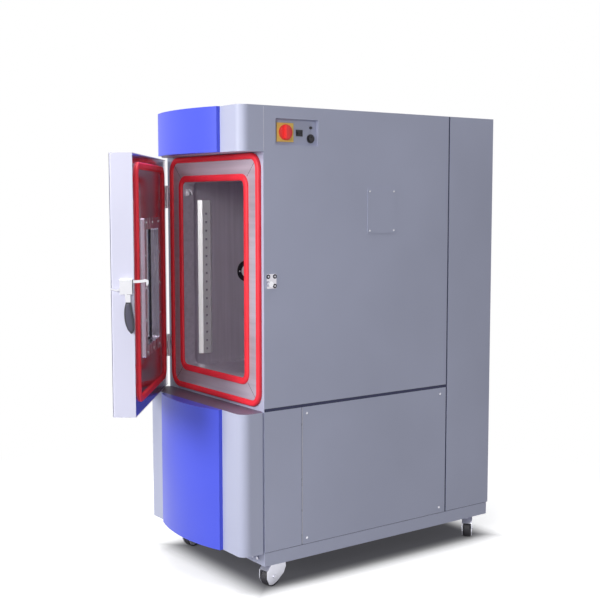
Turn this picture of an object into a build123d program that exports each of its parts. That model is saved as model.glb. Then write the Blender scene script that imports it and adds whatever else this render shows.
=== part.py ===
from build123d import *
from math import cos, radians, sin
import os

os.makedirs("parts", exist_ok=True)

# Environmental test chamber on four swivel casters, door open.
# Millimetres, +Z up. The front faces -Y and the side with the main switch faces +X.
# Pieces are laid out from the middle of the cabinet's footprint, then moved by
# origin_shift, which puts the origin on the floor under the middle of the overall box.
origin_shift = (14.565, 249.83, 0)

# Cabinet
body_width = 690
body_depth = 1138
body_height = 1750
sheet = 2                   # outer panels
panel_gap = 2               # open line above the base frame
corner_radius = 36          # front corners of head and fascia

# Base frame
skirt_bottom = 97
skirt_height = 49
skirt_width = 40
skirt_setback = 8           # at the rear
deck_thick = 3
post = 30                   # square posts and rails
mid_post_back = 877         # front panel to the middle posts
seam_height = 670           # middle of the open seam in the right side
seam_gap = 12
caster_pad = 6

# Side panels, measured from the front panel
column_back = 892           # middle of the open line before the rear housing
column_gap = 8
strip_back = 165            # rear edge of the narrow lower front strip
service_gap = 3
housing_return = 40

# Chamber opening and throat
opening_margin = 123        # opening to the sides of the cabinet, both sides alike
opening_cover = 95.5        # door beyond the opening at top and bottom
opening_radius = 22
opening_x = 11              # middle of the opening from the middle of the cabinet
opening_rise = 5            # middle of the opening above the middle of the door
throat_band = 75
throat_radius = 35
throat_proud = 6            # throat face in front of the front panel
throat_depth = 40
seal_band = 25
seal_proud = 14.5           # seals in front of the front panel
outer_seal_band = 22
seal_chamfer = 5
fit_gap = 0.5               # between a seal and the face it closes against

# Chamber
chamber_step_x = 28         # chamber beyond the opening at the sides
chamber_step_z = 17         # chamber beyond the opening at top and bottom
chamber_depth = 600         # usable depth, in front of the air baffle
duct_depth = 100            # behind the air baffle
liner_sheet = 1.5
liner_radius = 13.5
foam_gap = 0.3
foam_side = 32              # outside of the cabinet to the foam
foam_back = 802
foam_under = 72             # below the chamber

# Shelf rails
rail_low = 47               # above the chamber floor
rail_high = 86              # below the chamber ceiling
rail_front = 76             # front panel to the first rail
rail_foot = 64
rail_crown = 36
rail_proud = 12
rail_wall = 1.5
slot_pitch = 34
slot_margin = 54            # below the top of a rail
slot_wide = 9
slot_tall = 8
bracket_drop = 26           # sensor bracket below the top of the opening
bracket_tall = 26
bracket_back = 6
bracket_wide = 22
bracket_reach = 18

# Cable port
port_back = 304
port_drop = 2.5             # below the middle of the opening
port_bore = 25              # radius
port_wall = 2
port_flange_radius = 43.5
port_flange_thick = 5
plug_fit = 0.05
plug_grip = 14

# Air circulation
baffle_lift = 14            # air gap under the baffle
impeller_radius = 88
impeller_depth = 38
blade_count = 9
shaft_radius = 6
shaft_fit = 0.05
motor_radius = 52
motor_length = 70
coil_half_width = 190       # evaporator
coil_top = 65               # below the chamber ceiling
coil_bottom = 150           # above the middle of the opening
coil_depth = 60
coil_behind = 25
heater_half_width = 180
heater_low = 75             # above the chamber floor
heater_pitch = 32
heater_rod = 4
heater_behind = 50

# Refrigeration set in the base
compressor_side = 230       # from the left side of the cabinet
compressor_back = 330
compressor_radius = 85
compressor_tall = 230
compressor_dome = 32
compressor_foot = 6
foot_half_width = 115
foot_half_depth = 95
terminal_in = 25            # terminal box, inside and outside the compressor's shell
terminal_out = 30
terminal_half = 40
terminal_low = 60
terminal_high = 160
pipe_radius = 6
pipe_rise = 130
condenser_side = 80
condenser_clear = 63        # to the rear of the cabinet
condenser_thick = 50
condenser_top = 560
shroud_thick = 12
shroud_radius = 150
fin_pitch = 36
condenser_motor_radius = 38
condenser_motor_length = 35
condenser_fan_z = 360
condenser_arm = 175
vane_ring = 80
vane_long = 112
vane_wide = 52

# Head, fascia and their arched panels
front_projection = 97
head_height = 161
head_left_depth = 25        # depth left at the tapered left end of the head
fascia_drop = 5             # fascia below the middle of the open seam
shell_sheet = 2
rim_inset = 8
arch_margin = 130           # arched panel to the sides of the cabinet
arch_return = 14
arch_rise = 35
arch_sheet = 3

# Door, in its own frame: x from the hinge axis along the door, y toward the cabinet
door_open = 38              # degrees, as shown
hinge_front = 7.5           # hinge axis in front of the front panel
hinge_inset = 9             # hinge axis inside the left side of the cabinet
door_inner = -7.5
door_thick = 82
door_clear = 8.5            # to the head above and the fascia below
door_overhang = 2
door_edge_round = 10
door_skin = 2
door_rim = 3
seal_offset = 37.5          # door seal outside the chamber opening
door_seal_thick = 8.5
window_width = 250
window_height = 420
window_shift = 5.5          # middle of the window beyond the middle of the door
window_drop = 21            # and below it
window_member = 40
window_plate = 7
window_wall = 2
glass_thick = 4
glass_recess = 28
glass_front = 4
trim_gap = 0.3

# Hinges
knuckle_radius = 6
pin_radius = 3
pin_fit = 0.05
knuckle_gap = 0.3
leaf_thick = 2
leaf_reach = 21
leaf_relief = 8
hinge_length = 90
upper_hinge_drop = 191.5    # below the top of the door
lower_hinge_rise = 116.5    # above the bottom of the door

# Latch on the free edge of the door
latch_pivot_y = -32.5
latch_pin = 4
latch_fit = 0.05
latch_plate = 5
latch_gap = 1
latch_boss = 11
latch_base_wall = 3
grip_thick = 12

# Strike on the cabinet
strike_front = 11
strike_width = 42
strike_drop = 20            # below the latch pivot
strike_height = 52
strike_plate_thick = 2
keeper_back = 22
keeper_drop = 3             # below the latch pivot
keeper_roller = 6
keeper_head = 10

# Switch recess in the right side
pocket_front = 52
pocket_width = 188
pocket_drop = 136           # below the top of the cabinet
pocket_height = 93
pocket_depth = 15
switch_back = 102
switch_rise = 46            # above the lower edge of the recess
switch_plate_width = 72
switch_plate_height = 67
switch_plate_thick = 3
knob_radius = 27.5
knob_base = 6
knob_bar = 20
spindle_radius = 5
socket_back = 165
socket_rise = 45.5
connector_back = 215
connector_rise = 27
connector_radius = 16
button_back = 214
button_rise = 66
button_radius = 5

# Blank plate on the right side
blank_back = 541.5
blank_drop = 371            # below the top of the cabinet
blank_width = 140
blank_height = 168
blank_thick = 1.5
blank_screw_x = 119
blank_screw_z = 148

# Casters
wheel_radius = 37.5
wheel_width = 32
axle_radius = 4
axle_fit = 0.05
caster_trail = 26
fork_inside = 36
fork_wall = 3
fork_top = 88
fork_thick = 4
caster_inset = 60           # swivel axis from the side
front_caster_setback = 86   # swivel axis from the front of the base frame
rear_caster_setback = 50    # swivel axis from the rear of the base frame
swivel_pin = 5
swivel_fit = 0.05
swivel_gap = 0.3
nut_radius = 9
nut_high = 3
hood_reach = 22             # hood of the fork beyond its crown
hood_drop = 22
race_radius = 24
mount_plate = 3
front_swivel = -77          # degrees, direction from swivel axis to wheel
rear_swivel = -46

left, right = -body_width / 2, body_width / 2
front, rear = -body_depth / 2, body_depth / 2
base_rear = rear - skirt_setback
skirt_top = skirt_bottom + skirt_height
panel_bottom = skirt_top + panel_gap
panel_top = body_height - sheet
post_fronts = (front + sheet, front + mid_post_back, rear - sheet - post)
head_bottom = body_height - head_height
fascia_top = seam_height - fascia_drop
door_bottom = fascia_top + door_clear
door_top = head_bottom - door_clear
door_mid = (door_bottom + door_top) / 2
opening_width = body_width - 2 * opening_margin
opening_height = door_top - door_bottom - 2 * opening_cover
opening_z = door_mid + opening_rise
chamber_width = opening_width + 2 * chamber_step_x
chamber_height = opening_height + 2 * chamber_step_z
chamber_bottom = opening_z - chamber_height / 2
chamber_top = opening_z + chamber_height / 2
foam_bottom = chamber_bottom - foam_under
foam_top = body_height - foam_side
rail_bottom = chamber_bottom + rail_low
rail_top = chamber_top - rail_high
slot_top = rail_top - slot_margin
port_z = opening_z - port_drop
latch_pivot_z = door_mid
strike_bottom = latch_pivot_z - strike_drop
keeper_z = latch_pivot_z - keeper_drop
pocket_bottom = body_height - pocket_drop
switch_z = pocket_bottom + switch_rise
socket_z = pocket_bottom + socket_rise
connector_z = pocket_bottom + connector_rise
button_z = pocket_bottom + button_rise
blank_z = body_height - blank_drop
arch_width = body_width - 2 * arch_margin
chamber_back = throat_depth + chamber_depth + duct_depth
chamber_left = opening_x - chamber_width / 2
chamber_right = opening_x + chamber_width / 2
baffle_front = throat_depth + chamber_depth

hinge_x, hinge_y = left + hinge_inset, front - hinge_front
along = (cos(radians(door_open)), -sin(radians(door_open)), 0)
inward = (sin(radians(door_open)), cos(radians(door_open)), 0)
door_plan = Plane(origin=(hinge_x, hinge_y, 0), x_dir=along, z_dir=(0, 0, 1))
door_face = Plane(origin=(hinge_x, hinge_y, 0), x_dir=along, z_dir=(-inward[0], -inward[1], 0))
door_edge = Plane(origin=(hinge_x, hinge_y, 0), x_dir=inward, z_dir=along)
door_reach = body_width - hinge_inset
window_x = door_reach / 2 + window_shift
window_z = door_mid - window_drop
door_outer = door_inner - door_thick
lower_hinge_z = door_bottom + lower_hinge_rise
upper_hinge_z = door_top - upper_hinge_drop


def at_x(x):
    """Plane facing right at x; sketches on it use (y, z)."""
    return Plane.YZ.offset(x)


def at_y(y):
    """Plane facing the front at y; sketches on it use (x, z)."""
    return Plane.XZ.offset(-y)


def at_z(z):
    """Plane facing up at z; sketches on it use (x, y)."""
    return Plane.XY.offset(z)


def block(x0, x1, y0, y1, z0, z1, mode=Mode.ADD):
    """Box between three pairs of coordinates."""
    with Locations(((x0 + x1) / 2, (y0 + y1) / 2, (z0 + z1) / 2)):
        Box(x1 - x0, y1 - y0, z1 - z0, mode=mode)


def door_block(x0, x1, y0, y1, z0, z1, mode=Mode.ADD):
    """Box between three pairs of coordinates of the door's own frame."""
    with Locations(door_plan.location * Location(((x0 + x1) / 2, (y0 + y1) / 2, (z0 + z1) / 2))):
        Box(x1 - x0, y1 - y0, z1 - z0, mode=mode)


def rounded(plane, centre, width, height, radius):
    """Rounded rectangle on a plane."""
    with BuildSketch(plane) as outline:
        with Locations(centre):
            RectangleRounded(width, height, radius)
    return outline.sketch


def disc(plane, centre, radius):
    """Circle on a plane."""
    with BuildSketch(plane) as outline:
        with Locations(centre):
            Circle(radius)
    return outline.sketch


def polygon(plane, points):
    """Closed straight-sided outline on a plane."""
    with BuildSketch(plane) as outline:
        with BuildLine():
            Polyline(*points, close=True)
        make_face()
    return outline.sketch


def turned(plane, centre, radius, depth, mode=Mode.ADD):
    """Cylinder standing on a plane."""
    extrude(to_extrude=disc(plane, centre, radius), amount=depth, mode=mode)


def hexagon(plane, centre, radius, depth):
    """Nut or bolt head standing on a plane, sized across its corners."""
    with BuildSketch(plane) as outline:
        with Locations(centre):
            RegularPolygon(radius, 6)
    extrude(to_extrude=outline.sketch, amount=depth)


def around_opening(y0, y1, grow, radius, mode=Mode.ADD):
    """Rounded block between two depths, larger than the chamber opening all round."""
    outline = rounded(at_y(y1), (opening_x, opening_z), opening_width + 2 * grow,
                      opening_height + 2 * grow, radius)
    extrude(to_extrude=outline, amount=y1 - y0, mode=mode)


def chamber_block(y0, y1, grow, radius, mode=Mode.ADD):
    """Rounded block between two depths, larger than the chamber all round."""
    outline = rounded(at_y(y1), (opening_x, opening_z), chamber_width + 2 * grow,
                      chamber_height + 2 * grow, radius)
    extrude(to_extrude=outline, amount=y1 - y0, mode=mode)


def around_window(y0, y1, grow, radius, mode=Mode.ADD):
    """Rounded block in the door between two depths, larger than the window all round."""
    outline = rounded(door_face.offset(-y1), (window_x, window_z), window_width + 2 * grow,
                      window_height + 2 * grow, radius)
    extrude(to_extrude=outline, amount=y1 - y0, mode=mode)


def arch(plane, x0, x1, back, inset, height, mode=Mode.ADD):
    """Bowed block over a plan: two short returns with a shallow arc between them."""
    shoulder = back - arch_return + inset
    crown = back - arch_return - arch_rise + inset
    with BuildSketch(plane) as outline:
        with BuildLine():
            Line((x0 + inset, back), (x0 + inset, shoulder))
            ThreePointArc((x0 + inset, shoulder), ((x0 + x1) / 2, crown), (x1 - inset, shoulder))
            Line((x1 - inset, shoulder), (x1 - inset, back))
            Line((x1 - inset, back), (x0 + inset, back))
        make_face()
    extrude(to_extrude=outline.sketch, amount=height, mode=mode)


def save(piece, node):
    """Label a finished piece, move it to the origin and write it under its own name."""
    piece.part.label = node
    placed = piece.part.translate(origin_shift)
    placed.label = node
    export_step(placed, f"parts/{node}.step")


# Base frame: welded skirt and deck, caster pads, posts and rails
with BuildPart() as chassis:
    block(left, right, front, base_rear, skirt_bottom, skirt_top)
    block(left + skirt_width, right - skirt_width, front + skirt_width, base_rear - skirt_width,
          skirt_bottom, skirt_top - deck_thick, mode=Mode.SUBTRACT)
    for x in (left, right - 118):
        for y in (front, base_rear - 150):
            block(x, x + 118, y, y + 150, skirt_bottom, skirt_bottom + caster_pad)
    rail_zs = (skirt_top, seam_height - post / 2, panel_top - post)
    for x in (left + sheet, right - sheet - post):
        for y in post_fronts:
            block(x, x + post, y, y + post, skirt_top, panel_top)
        for z in rail_zs:
            block(x, x + post, front + sheet, rear - sheet, z, z + post)
    for y in post_fronts:
        for z in rail_zs:
            block(left + sheet, right - sheet, y, y + post, z, z + post)
save(chassis, "chassis")

# Four caster mounts: plate, race and king pin with its nut
swivels = [(x, y) for x in (left + caster_inset, right - caster_inset)
           for y in (front + front_caster_setback, base_rear - rear_caster_setback)]
with BuildPart() as caster_plates:
    for x, y in swivels:
        block(x - 38, x + 38, y - 42, y + 42, skirt_bottom - mount_plate, skirt_bottom)
        turned(at_z(fork_top + swivel_gap), (x, y), race_radius,
               skirt_bottom - mount_plate - fork_top - swivel_gap)
        turned(at_z(fork_top - fork_thick - swivel_gap), (x, y), swivel_pin,
               fork_thick + 2 * swivel_gap)
        hexagon(at_z(fork_top - fork_thick - swivel_gap - nut_high), (x, y), nut_radius,
                nut_high)
save(caster_plates, "caster_plates")

# Front panel behind the door
with BuildPart() as front_panel:
    block(left + sheet, right - sheet, front, front + sheet, skirt_top, panel_top)
    around_opening(front, front + sheet, throat_band, throat_radius, mode=Mode.SUBTRACT)
save(front_panel, "front_panel")

# Stainless frame round the opening, folded back into the throat
with BuildPart() as throat_frame:
    around_opening(front - throat_proud, front + sheet, throat_band, throat_radius)
    around_opening(front - throat_proud + sheet, front + sheet, throat_band - sheet,
                   throat_radius - sheet, mode=Mode.SUBTRACT)
    around_opening(front - throat_proud, front + throat_depth, sheet, opening_radius + sheet)
    around_opening(front - throat_proud, front + throat_depth, 0, opening_radius,
                   mode=Mode.SUBTRACT)
save(throat_frame, "throat_frame")

# Silicone seals
with BuildPart() as outer_gasket:
    seal_in = throat_band + fit_gap
    around_opening(front - seal_proud, front, seal_in + outer_seal_band,
                   throat_radius + outer_seal_band)
    around_opening(front - seal_proud, front, seal_in, throat_radius + fit_gap,
                   mode=Mode.SUBTRACT)
    chamfer(outer_gasket.faces().sort_by(Axis.Y)[0].edges(), seal_chamfer)
save(outer_gasket, "outer_gasket")

with BuildPart() as inner_gasket:
    around_opening(front - seal_proud, front - throat_proud, seal_band,
                   opening_radius + seal_band)
    around_opening(front - seal_proud, front - throat_proud, 0, opening_radius,
                   mode=Mode.SUBTRACT)
    chamfer(inner_gasket.faces().sort_by(Axis.Y)[0].edges(), seal_chamfer)
save(inner_gasket, "inner_gasket")

# Outer panels
column_front = column_back - column_gap / 2
column_rear = column_back + column_gap / 2
pocket_wall = sheet
with BuildPart() as upper_side_right:
    block(right - sheet, right, front, front + column_front, seam_height + seam_gap / 2, panel_top)
    block(right - sheet, right, front + pocket_front - pocket_wall,
          front + pocket_front + pocket_width + pocket_wall, pocket_bottom - pocket_wall,
          pocket_bottom + pocket_height + pocket_wall, mode=Mode.SUBTRACT)
save(upper_side_right, "upper_side_right")

with BuildPart() as lower_side_right:
    block(right - sheet, right, front, front + strip_back, panel_bottom,
          seam_height - seam_gap / 2)
save(lower_side_right, "lower_side_right")

with BuildPart() as service_panel_right:
    block(right - sheet, right, front + strip_back + service_gap, front + column_front,
          panel_bottom, seam_height - seam_gap / 2)
save(service_panel_right, "service_panel_right")

with BuildPart() as left_side_panel:
    block(left, left + sheet, front, front + column_front, panel_bottom, panel_top)
    turned(at_x(left), (front + port_back, port_z), port_bore + port_wall + foam_gap, sheet,
           mode=Mode.SUBTRACT)
save(left_side_panel, "left_side_panel")

with BuildPart() as rear_housing:
    block(left, right, front + column_rear, rear, panel_bottom, panel_top)
    block(left + sheet, right - sheet, front + column_rear, rear - sheet, panel_bottom,
          panel_top, mode=Mode.SUBTRACT)
    block(left + housing_return, right - housing_return, rear - sheet, rear,
          panel_bottom, panel_top - housing_return, mode=Mode.SUBTRACT)
save(rear_housing, "rear_housing")

louvre_rows = 9
louvre_pitch = 26
louvre_width = 220
louvre_tall = 10
louvre_deep = 5
with BuildPart() as rear_panel:
    block(left + housing_return, right - housing_return, rear - sheet, rear,
          panel_bottom, panel_top - housing_return)
    for x in (-louvre_width / 2 - 25, louvre_width / 2 + 25):
        for row in range(louvre_rows):
            z = 230 + row * louvre_pitch
            hood = ((rear - sheet, z), (rear - sheet - louvre_deep, z),
                    (rear - sheet, z + louvre_tall))
            extrude(to_extrude=polygon(at_x(x - louvre_width / 2), hood), amount=louvre_width)
            mouth = ((rear, z + 1), (rear - sheet - louvre_deep + 1.5, z + 1),
                     (rear, z + louvre_tall))
            extrude(to_extrude=polygon(at_x(x - louvre_width / 2 + 2), mouth),
                    amount=louvre_width - 4, mode=Mode.SUBTRACT)
save(rear_panel, "rear_panel")

with BuildPart() as top_panel:
    block(left, right, front, rear, panel_top, body_height)
save(top_panel, "top_panel")


def head_plan(z, inset):
    """Outline of the head in plan: rounded at the right, tapered at the left."""
    nose = front - front_projection + inset
    with BuildSketch(at_z(z)) as outline:
        with BuildLine():
            Polyline((right - inset, front), (right - inset, nose), (-arch_width / 2, nose),
                     (left + inset, front - head_left_depth + inset), (left + inset, front),
                     close=True)
        make_face()
        fillet(outline.vertices().group_by(Axis.X)[-1].sort_by(Axis.Y)[0], corner_radius - inset)
    return outline.sketch


# Head over the door
with BuildPart() as head_shell:
    extrude(to_extrude=head_plan(head_bottom, 0), amount=body_height - head_bottom)
    extrude(to_extrude=head_plan(head_bottom + shell_sheet, shell_sheet),
            amount=body_height - head_bottom - 2 * shell_sheet, mode=Mode.SUBTRACT)
save(head_shell, "head_shell")

arch_half = arch_width / 2
front_face = front - front_projection
with BuildPart() as head_arch_panel:
    arch(at_z(head_bottom), -arch_half, arch_half, front_face, 0, body_height - head_bottom)
    arch(at_z(head_bottom + arch_sheet), -arch_half, arch_half, front_face, arch_sheet,
         body_height - head_bottom - 2 * arch_sheet, mode=Mode.SUBTRACT)
save(head_arch_panel, "head_arch_panel")


def fascia_plan(z, inset):
    """Outline of the fascia in plan, both front corners rounded."""
    nose = front - front_projection + inset
    heel = front - rim_inset - inset
    with BuildSketch(at_z(z)) as outline:
        with BuildLine():
            Polyline((right - inset, heel), (right - inset, nose), (left + inset, nose),
                     (left + inset, heel), close=True)
        make_face()
        fillet(outline.vertices().group_by(Axis.Y)[0], corner_radius - inset)
    return outline.sketch


# Fascia under the door, standing off the cabinet on a set-back rim
with BuildPart() as fascia_shell:
    extrude(to_extrude=fascia_plan(skirt_top, 0), amount=fascia_top - skirt_top)
    block(left + rim_inset, right - rim_inset, front - rim_inset, front, skirt_top, fascia_top)
    extrude(to_extrude=fascia_plan(skirt_top + shell_sheet, shell_sheet),
            amount=fascia_top - skirt_top - 2 * shell_sheet, mode=Mode.SUBTRACT)
    block(left + rim_inset + shell_sheet, right - rim_inset - shell_sheet,
          front - rim_inset - 2 * shell_sheet, front, skirt_top + shell_sheet,
          fascia_top - shell_sheet, mode=Mode.SUBTRACT)
save(fascia_shell, "fascia_shell")

with BuildPart() as fascia_arch_panel:
    arch(at_z(skirt_top), -arch_half, arch_half, front_face, 0, fascia_top - skirt_top)
    arch(at_z(skirt_top + arch_sheet), -arch_half, arch_half, front_face, arch_sheet,
         fascia_top - skirt_top - 2 * arch_sheet, mode=Mode.SUBTRACT)
save(fascia_arch_panel, "fascia_arch_panel")

# Chamber liner
port_tube = port_bore + port_wall
with BuildPart() as chamber_liner:
    chamber_block(front + throat_depth, front + chamber_back + liner_sheet, liner_sheet,
                  liner_radius + liner_sheet)
    chamber_block(front + throat_depth + liner_sheet, front + chamber_back, 0, liner_radius,
                  mode=Mode.SUBTRACT)
    around_opening(front + throat_depth, front + throat_depth + liner_sheet, 0, opening_radius,
                   mode=Mode.SUBTRACT)
    turned(at_x(chamber_left - liner_sheet), (front + port_back, port_z), port_tube + foam_gap,
           liner_sheet, mode=Mode.SUBTRACT)
    turned(at_y(front + chamber_back + liner_sheet), (opening_x, opening_z), shaft_radius + 1,
           liner_sheet, mode=Mode.SUBTRACT)
save(chamber_liner, "chamber_liner")

# Foam between the liner and the cabinet
with BuildPart() as insulation:
    block(left + foam_side, right - foam_side, front + sheet, front + foam_back,
          foam_bottom, foam_top)
    around_opening(front + sheet, front + throat_depth, sheet + foam_gap,
                   opening_radius + sheet, mode=Mode.SUBTRACT)
    foam_grow = liner_sheet + foam_gap
    block(chamber_left - foam_grow, chamber_right + foam_grow, front + throat_depth,
          front + chamber_back + foam_grow, chamber_bottom - foam_grow, chamber_top + foam_grow,
          mode=Mode.SUBTRACT)
    turned(at_x(left), (front + port_back, port_z), port_tube + foam_gap,
           chamber_left - left, mode=Mode.SUBTRACT)
    turned(at_y(front + foam_back), (opening_x, opening_z), shaft_radius + 1,
           foam_back - chamber_back, mode=Mode.SUBTRACT)
save(insulation, "insulation")


def rail(wall, side, y0):
    """Slotted hat channel on a chamber wall; side is +1 where it stands out to the right."""
    slope = (rail_foot - rail_crown) / 2
    outer = ((wall, y0), (wall + side * rail_proud, y0 + slope),
             (wall + side * rail_proud, y0 + slope + rail_crown), (wall, y0 + rail_foot))
    inner = ((wall, y0 + 1.6 * rail_wall),
             (wall + side * (rail_proud - rail_wall), y0 + slope + 0.6 * rail_wall),
             (wall + side * (rail_proud - rail_wall), y0 + slope + rail_crown - 0.6 * rail_wall),
             (wall, y0 + rail_foot - 1.6 * rail_wall))
    extrude(to_extrude=polygon(at_z(rail_bottom), outer), amount=rail_top - rail_bottom)
    extrude(to_extrude=polygon(at_z(rail_bottom), inner), amount=rail_top - rail_bottom,
            mode=Mode.SUBTRACT)
    slots = int((slot_top - rail_bottom - slot_tall) // slot_pitch) + 1
    low = slot_top - (slots - 1) * slot_pitch
    crown = wall + side * (rail_proud - rail_wall / 2)
    with Locations(*[(crown, y0 + rail_foot / 2, low + row * slot_pitch) for row in range(slots)]):
        Box(rail_wall + 0.4, slot_wide, slot_tall, mode=Mode.SUBTRACT)


rail_rear = baffle_front - rail_front + throat_depth - rail_foot
with BuildPart() as shelf_rails:
    for y0 in (front + rail_front, front + rail_rear):
        rail(chamber_left, 1, y0)
        rail(chamber_right, -1, y0)
save(shelf_rails, "shelf_rails")

# Small two-pronged bracket on the left wall of the throat
throat_left = opening_x - opening_width / 2
bracket_top = opening_z + opening_height / 2 - bracket_drop
bracket_low = bracket_top - bracket_tall
bracket_front, bracket_rear = front + bracket_back, front + bracket_back + bracket_wide
with BuildPart() as sensor_bracket:
    block(throat_left, throat_left + 3, bracket_front, bracket_rear, bracket_low, bracket_top)
    for z in (bracket_low + 4, bracket_top - 8):
        block(throat_left + 3, throat_left + bracket_reach, bracket_front, bracket_rear, z, z + 4)
save(sensor_bracket, "sensor_bracket")

# Cable port through the left wall
port_at = (front + port_back, port_z)
with BuildPart() as port_flange:
    turned(at_x(left), port_at, port_tube, chamber_left - left)
    turned(at_x(chamber_left), port_at, port_flange_radius, port_flange_thick)
    turned(at_x(left - port_flange_thick), port_at, port_flange_radius, port_flange_thick)
    turned(at_x(left - port_flange_thick), port_at, port_bore,
           chamber_left - left + 2 * port_flange_thick, mode=Mode.SUBTRACT)
save(port_flange, "port_flange")

with BuildPart() as port_plug:
    turned(at_x(left - port_flange_thick - 0.3), port_at, port_bore - plug_fit,
           chamber_left - left + 2 * port_flange_thick + 0.3)
    turned(at_x(left - port_flange_thick - 0.3 - plug_grip), port_at, port_bore + 6, plug_grip)
save(port_plug, "port_plug")

# Air baffle with suction grille and outlet slots
with BuildPart() as air_baffle:
    chamber_block(front + baffle_front, front + baffle_front + sheet, 0, liner_radius + 3)
    block(chamber_left, chamber_right, front + baffle_front, front + baffle_front + sheet,
          chamber_bottom, chamber_bottom + baffle_lift, mode=Mode.SUBTRACT)
    for column in range(11):
        offset_x = (column - 5) * 14
        tall = 2 * (78 ** 2 - offset_x ** 2) ** 0.5
        block(opening_x + offset_x - 4, opening_x + offset_x + 4, front + baffle_front,
              front + baffle_front + sheet, opening_z - tall / 2, opening_z + tall / 2,
              mode=Mode.SUBTRACT)
    outlet = chamber_width / 9.25
    for z in (chamber_bottom + 45, chamber_top - 57):
        for column in range(8):
            offset_x = (column - 3.5) * outlet
            block(opening_x + offset_x - 21, opening_x + offset_x + 21, front + baffle_front,
                  front + baffle_front + sheet, z, z + 12, mode=Mode.SUBTRACT)
save(air_baffle, "air_baffle")

# Circulation fan: impeller and shaft in the duct, motor behind the foam
impeller_back = chamber_back - 38
with BuildPart() as fan_impeller:
    turned(at_y(front + foam_back + 38), (opening_x, opening_z), shaft_radius,
           foam_back + 38 - impeller_back)
    turned(at_y(front + impeller_back), (opening_x, opening_z), impeller_radius, 3)
    turned(at_y(front + impeller_back), (opening_x, opening_z), 18, impeller_depth)
    with BuildSketch(at_y(front + impeller_back - 3)) as blades:
        with Locations((opening_x, opening_z)):
            with PolarLocations(52, blade_count):
                Rectangle(62, 2.5, rotation=32)
    extrude(to_extrude=blades.sketch, amount=impeller_depth - 6)
save(fan_impeller, "fan_impeller")

with BuildPart() as fan_motor:
    block(opening_x - 75, opening_x + 75, front + foam_back, front + foam_back + 4,
          opening_z - 75, opening_z + 75)
    turned(at_y(front + foam_back + 4 + motor_length), (opening_x, opening_z), motor_radius,
           motor_length)
    turned(at_y(front + foam_back + 42), (opening_x, opening_z), shaft_radius + shaft_fit, 42,
           mode=Mode.SUBTRACT)
save(fan_motor, "fan_motor")

# Evaporator and heater in the duct
duct_rear = front + chamber_back
coil_back = duct_rear - coil_behind
coil_front = coil_back - coil_depth
coil_low, coil_high = opening_z + coil_bottom, chamber_top - coil_top
with BuildPart() as evaporator:
    block(opening_x - coil_half_width, opening_x + coil_half_width, coil_front, coil_back,
          coil_low, coil_high)
    for column in range(15):
        x = opening_x + (column - 7) * coil_half_width / 8
        block(x - 7, x + 7, coil_front, coil_front + 12, coil_low, coil_high,
              mode=Mode.SUBTRACT)
    for x in (opening_x - coil_half_width - 3, opening_x + coil_half_width):
        block(x, x + 3, coil_front - 3, duct_rear, coil_low - 10, coil_high + 10)
save(evaporator, "evaporator")

heater_bottom = chamber_bottom + heater_low
heater_y = duct_rear - heater_behind
with BuildPart() as heater:
    for row in range(4):
        turned(at_x(opening_x - heater_half_width),
               (heater_y, heater_bottom + 20 + row * heater_pitch), heater_rod,
               2 * heater_half_width)
    for x in (opening_x - heater_half_width - 3, opening_x + heater_half_width):
        block(x, x + 3, heater_y - 20, duct_rear, heater_bottom,
              heater_bottom + 40 + 3 * heater_pitch)
save(heater, "heater")

# Refrigeration set in the base
compressor_x, compressor_y = left + compressor_side, front + compressor_back
condenser_rear = rear - condenser_clear
condenser_front = condenser_rear - condenser_thick
shroud_front = condenser_front - shroud_thick
pipe_z = skirt_top + compressor_foot + compressor_tall - compressor_dome
with BuildPart() as compressor:
    block(compressor_x - foot_half_width, compressor_x + foot_half_width,
          compressor_y - foot_half_depth, compressor_y + foot_half_depth,
          skirt_top, skirt_top + compressor_foot)
    turned(at_z(skirt_top + compressor_foot), (compressor_x, compressor_y), compressor_radius,
           compressor_tall)
    chamfer(compressor.faces().sort_by(Axis.Z)[-1].edges(), compressor_dome)
    block(compressor_x + compressor_radius - terminal_in,
          compressor_x + compressor_radius + terminal_out, compressor_y - terminal_half,
          compressor_y + terminal_half, skirt_top + terminal_low, skirt_top + terminal_high)
    with BuildLine() as pipe_run:
        Polyline((compressor_x, compressor_y + 40, pipe_z),
                 (compressor_x, compressor_y + 40, pipe_z + pipe_rise),
                 (compressor_x, shroud_front, pipe_z + pipe_rise))
    with BuildSketch(Plane((compressor_x, compressor_y + 40, pipe_z))) as pipe_bore:
        Circle(pipe_radius)
    sweep(sections=pipe_bore.sketch, path=pipe_run.wires()[0], transition=Transition.RIGHT)
save(compressor, "compressor")

condenser_left, condenser_right = left + condenser_side, right - condenser_side
arm_y = shroud_front - 53
fan_at = (0, condenser_fan_z)
with BuildPart() as condenser:
    block(condenser_left, condenser_right, condenser_front, condenser_rear, skirt_top,
          condenser_top)
    for column in range(13):
        x = (column - 6) * fin_pitch
        block(x - 11, x + 11, condenser_rear - 10, condenser_rear, skirt_top + 24,
              condenser_top - 15, mode=Mode.SUBTRACT)
    block(condenser_left, condenser_right, shroud_front, condenser_front, skirt_top,
          condenser_top)
    turned(at_y(condenser_front), fan_at, shroud_radius, shroud_thick, mode=Mode.SUBTRACT)
    for x in (-condenser_arm, condenser_arm - 15):
        block(x, x + 15, arm_y, shroud_front, condenser_fan_z - 10, condenser_fan_z + 10)
    block(-condenser_arm, condenser_arm, arm_y - 8, arm_y, condenser_fan_z - 10,
          condenser_fan_z + 10)
    turned(at_y(arm_y), fan_at, condenser_motor_radius, condenser_motor_length + 25)
    turned(at_y(arm_y), fan_at, 4 + shaft_fit, 40, mode=Mode.SUBTRACT)
save(condenser, "condenser")

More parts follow.
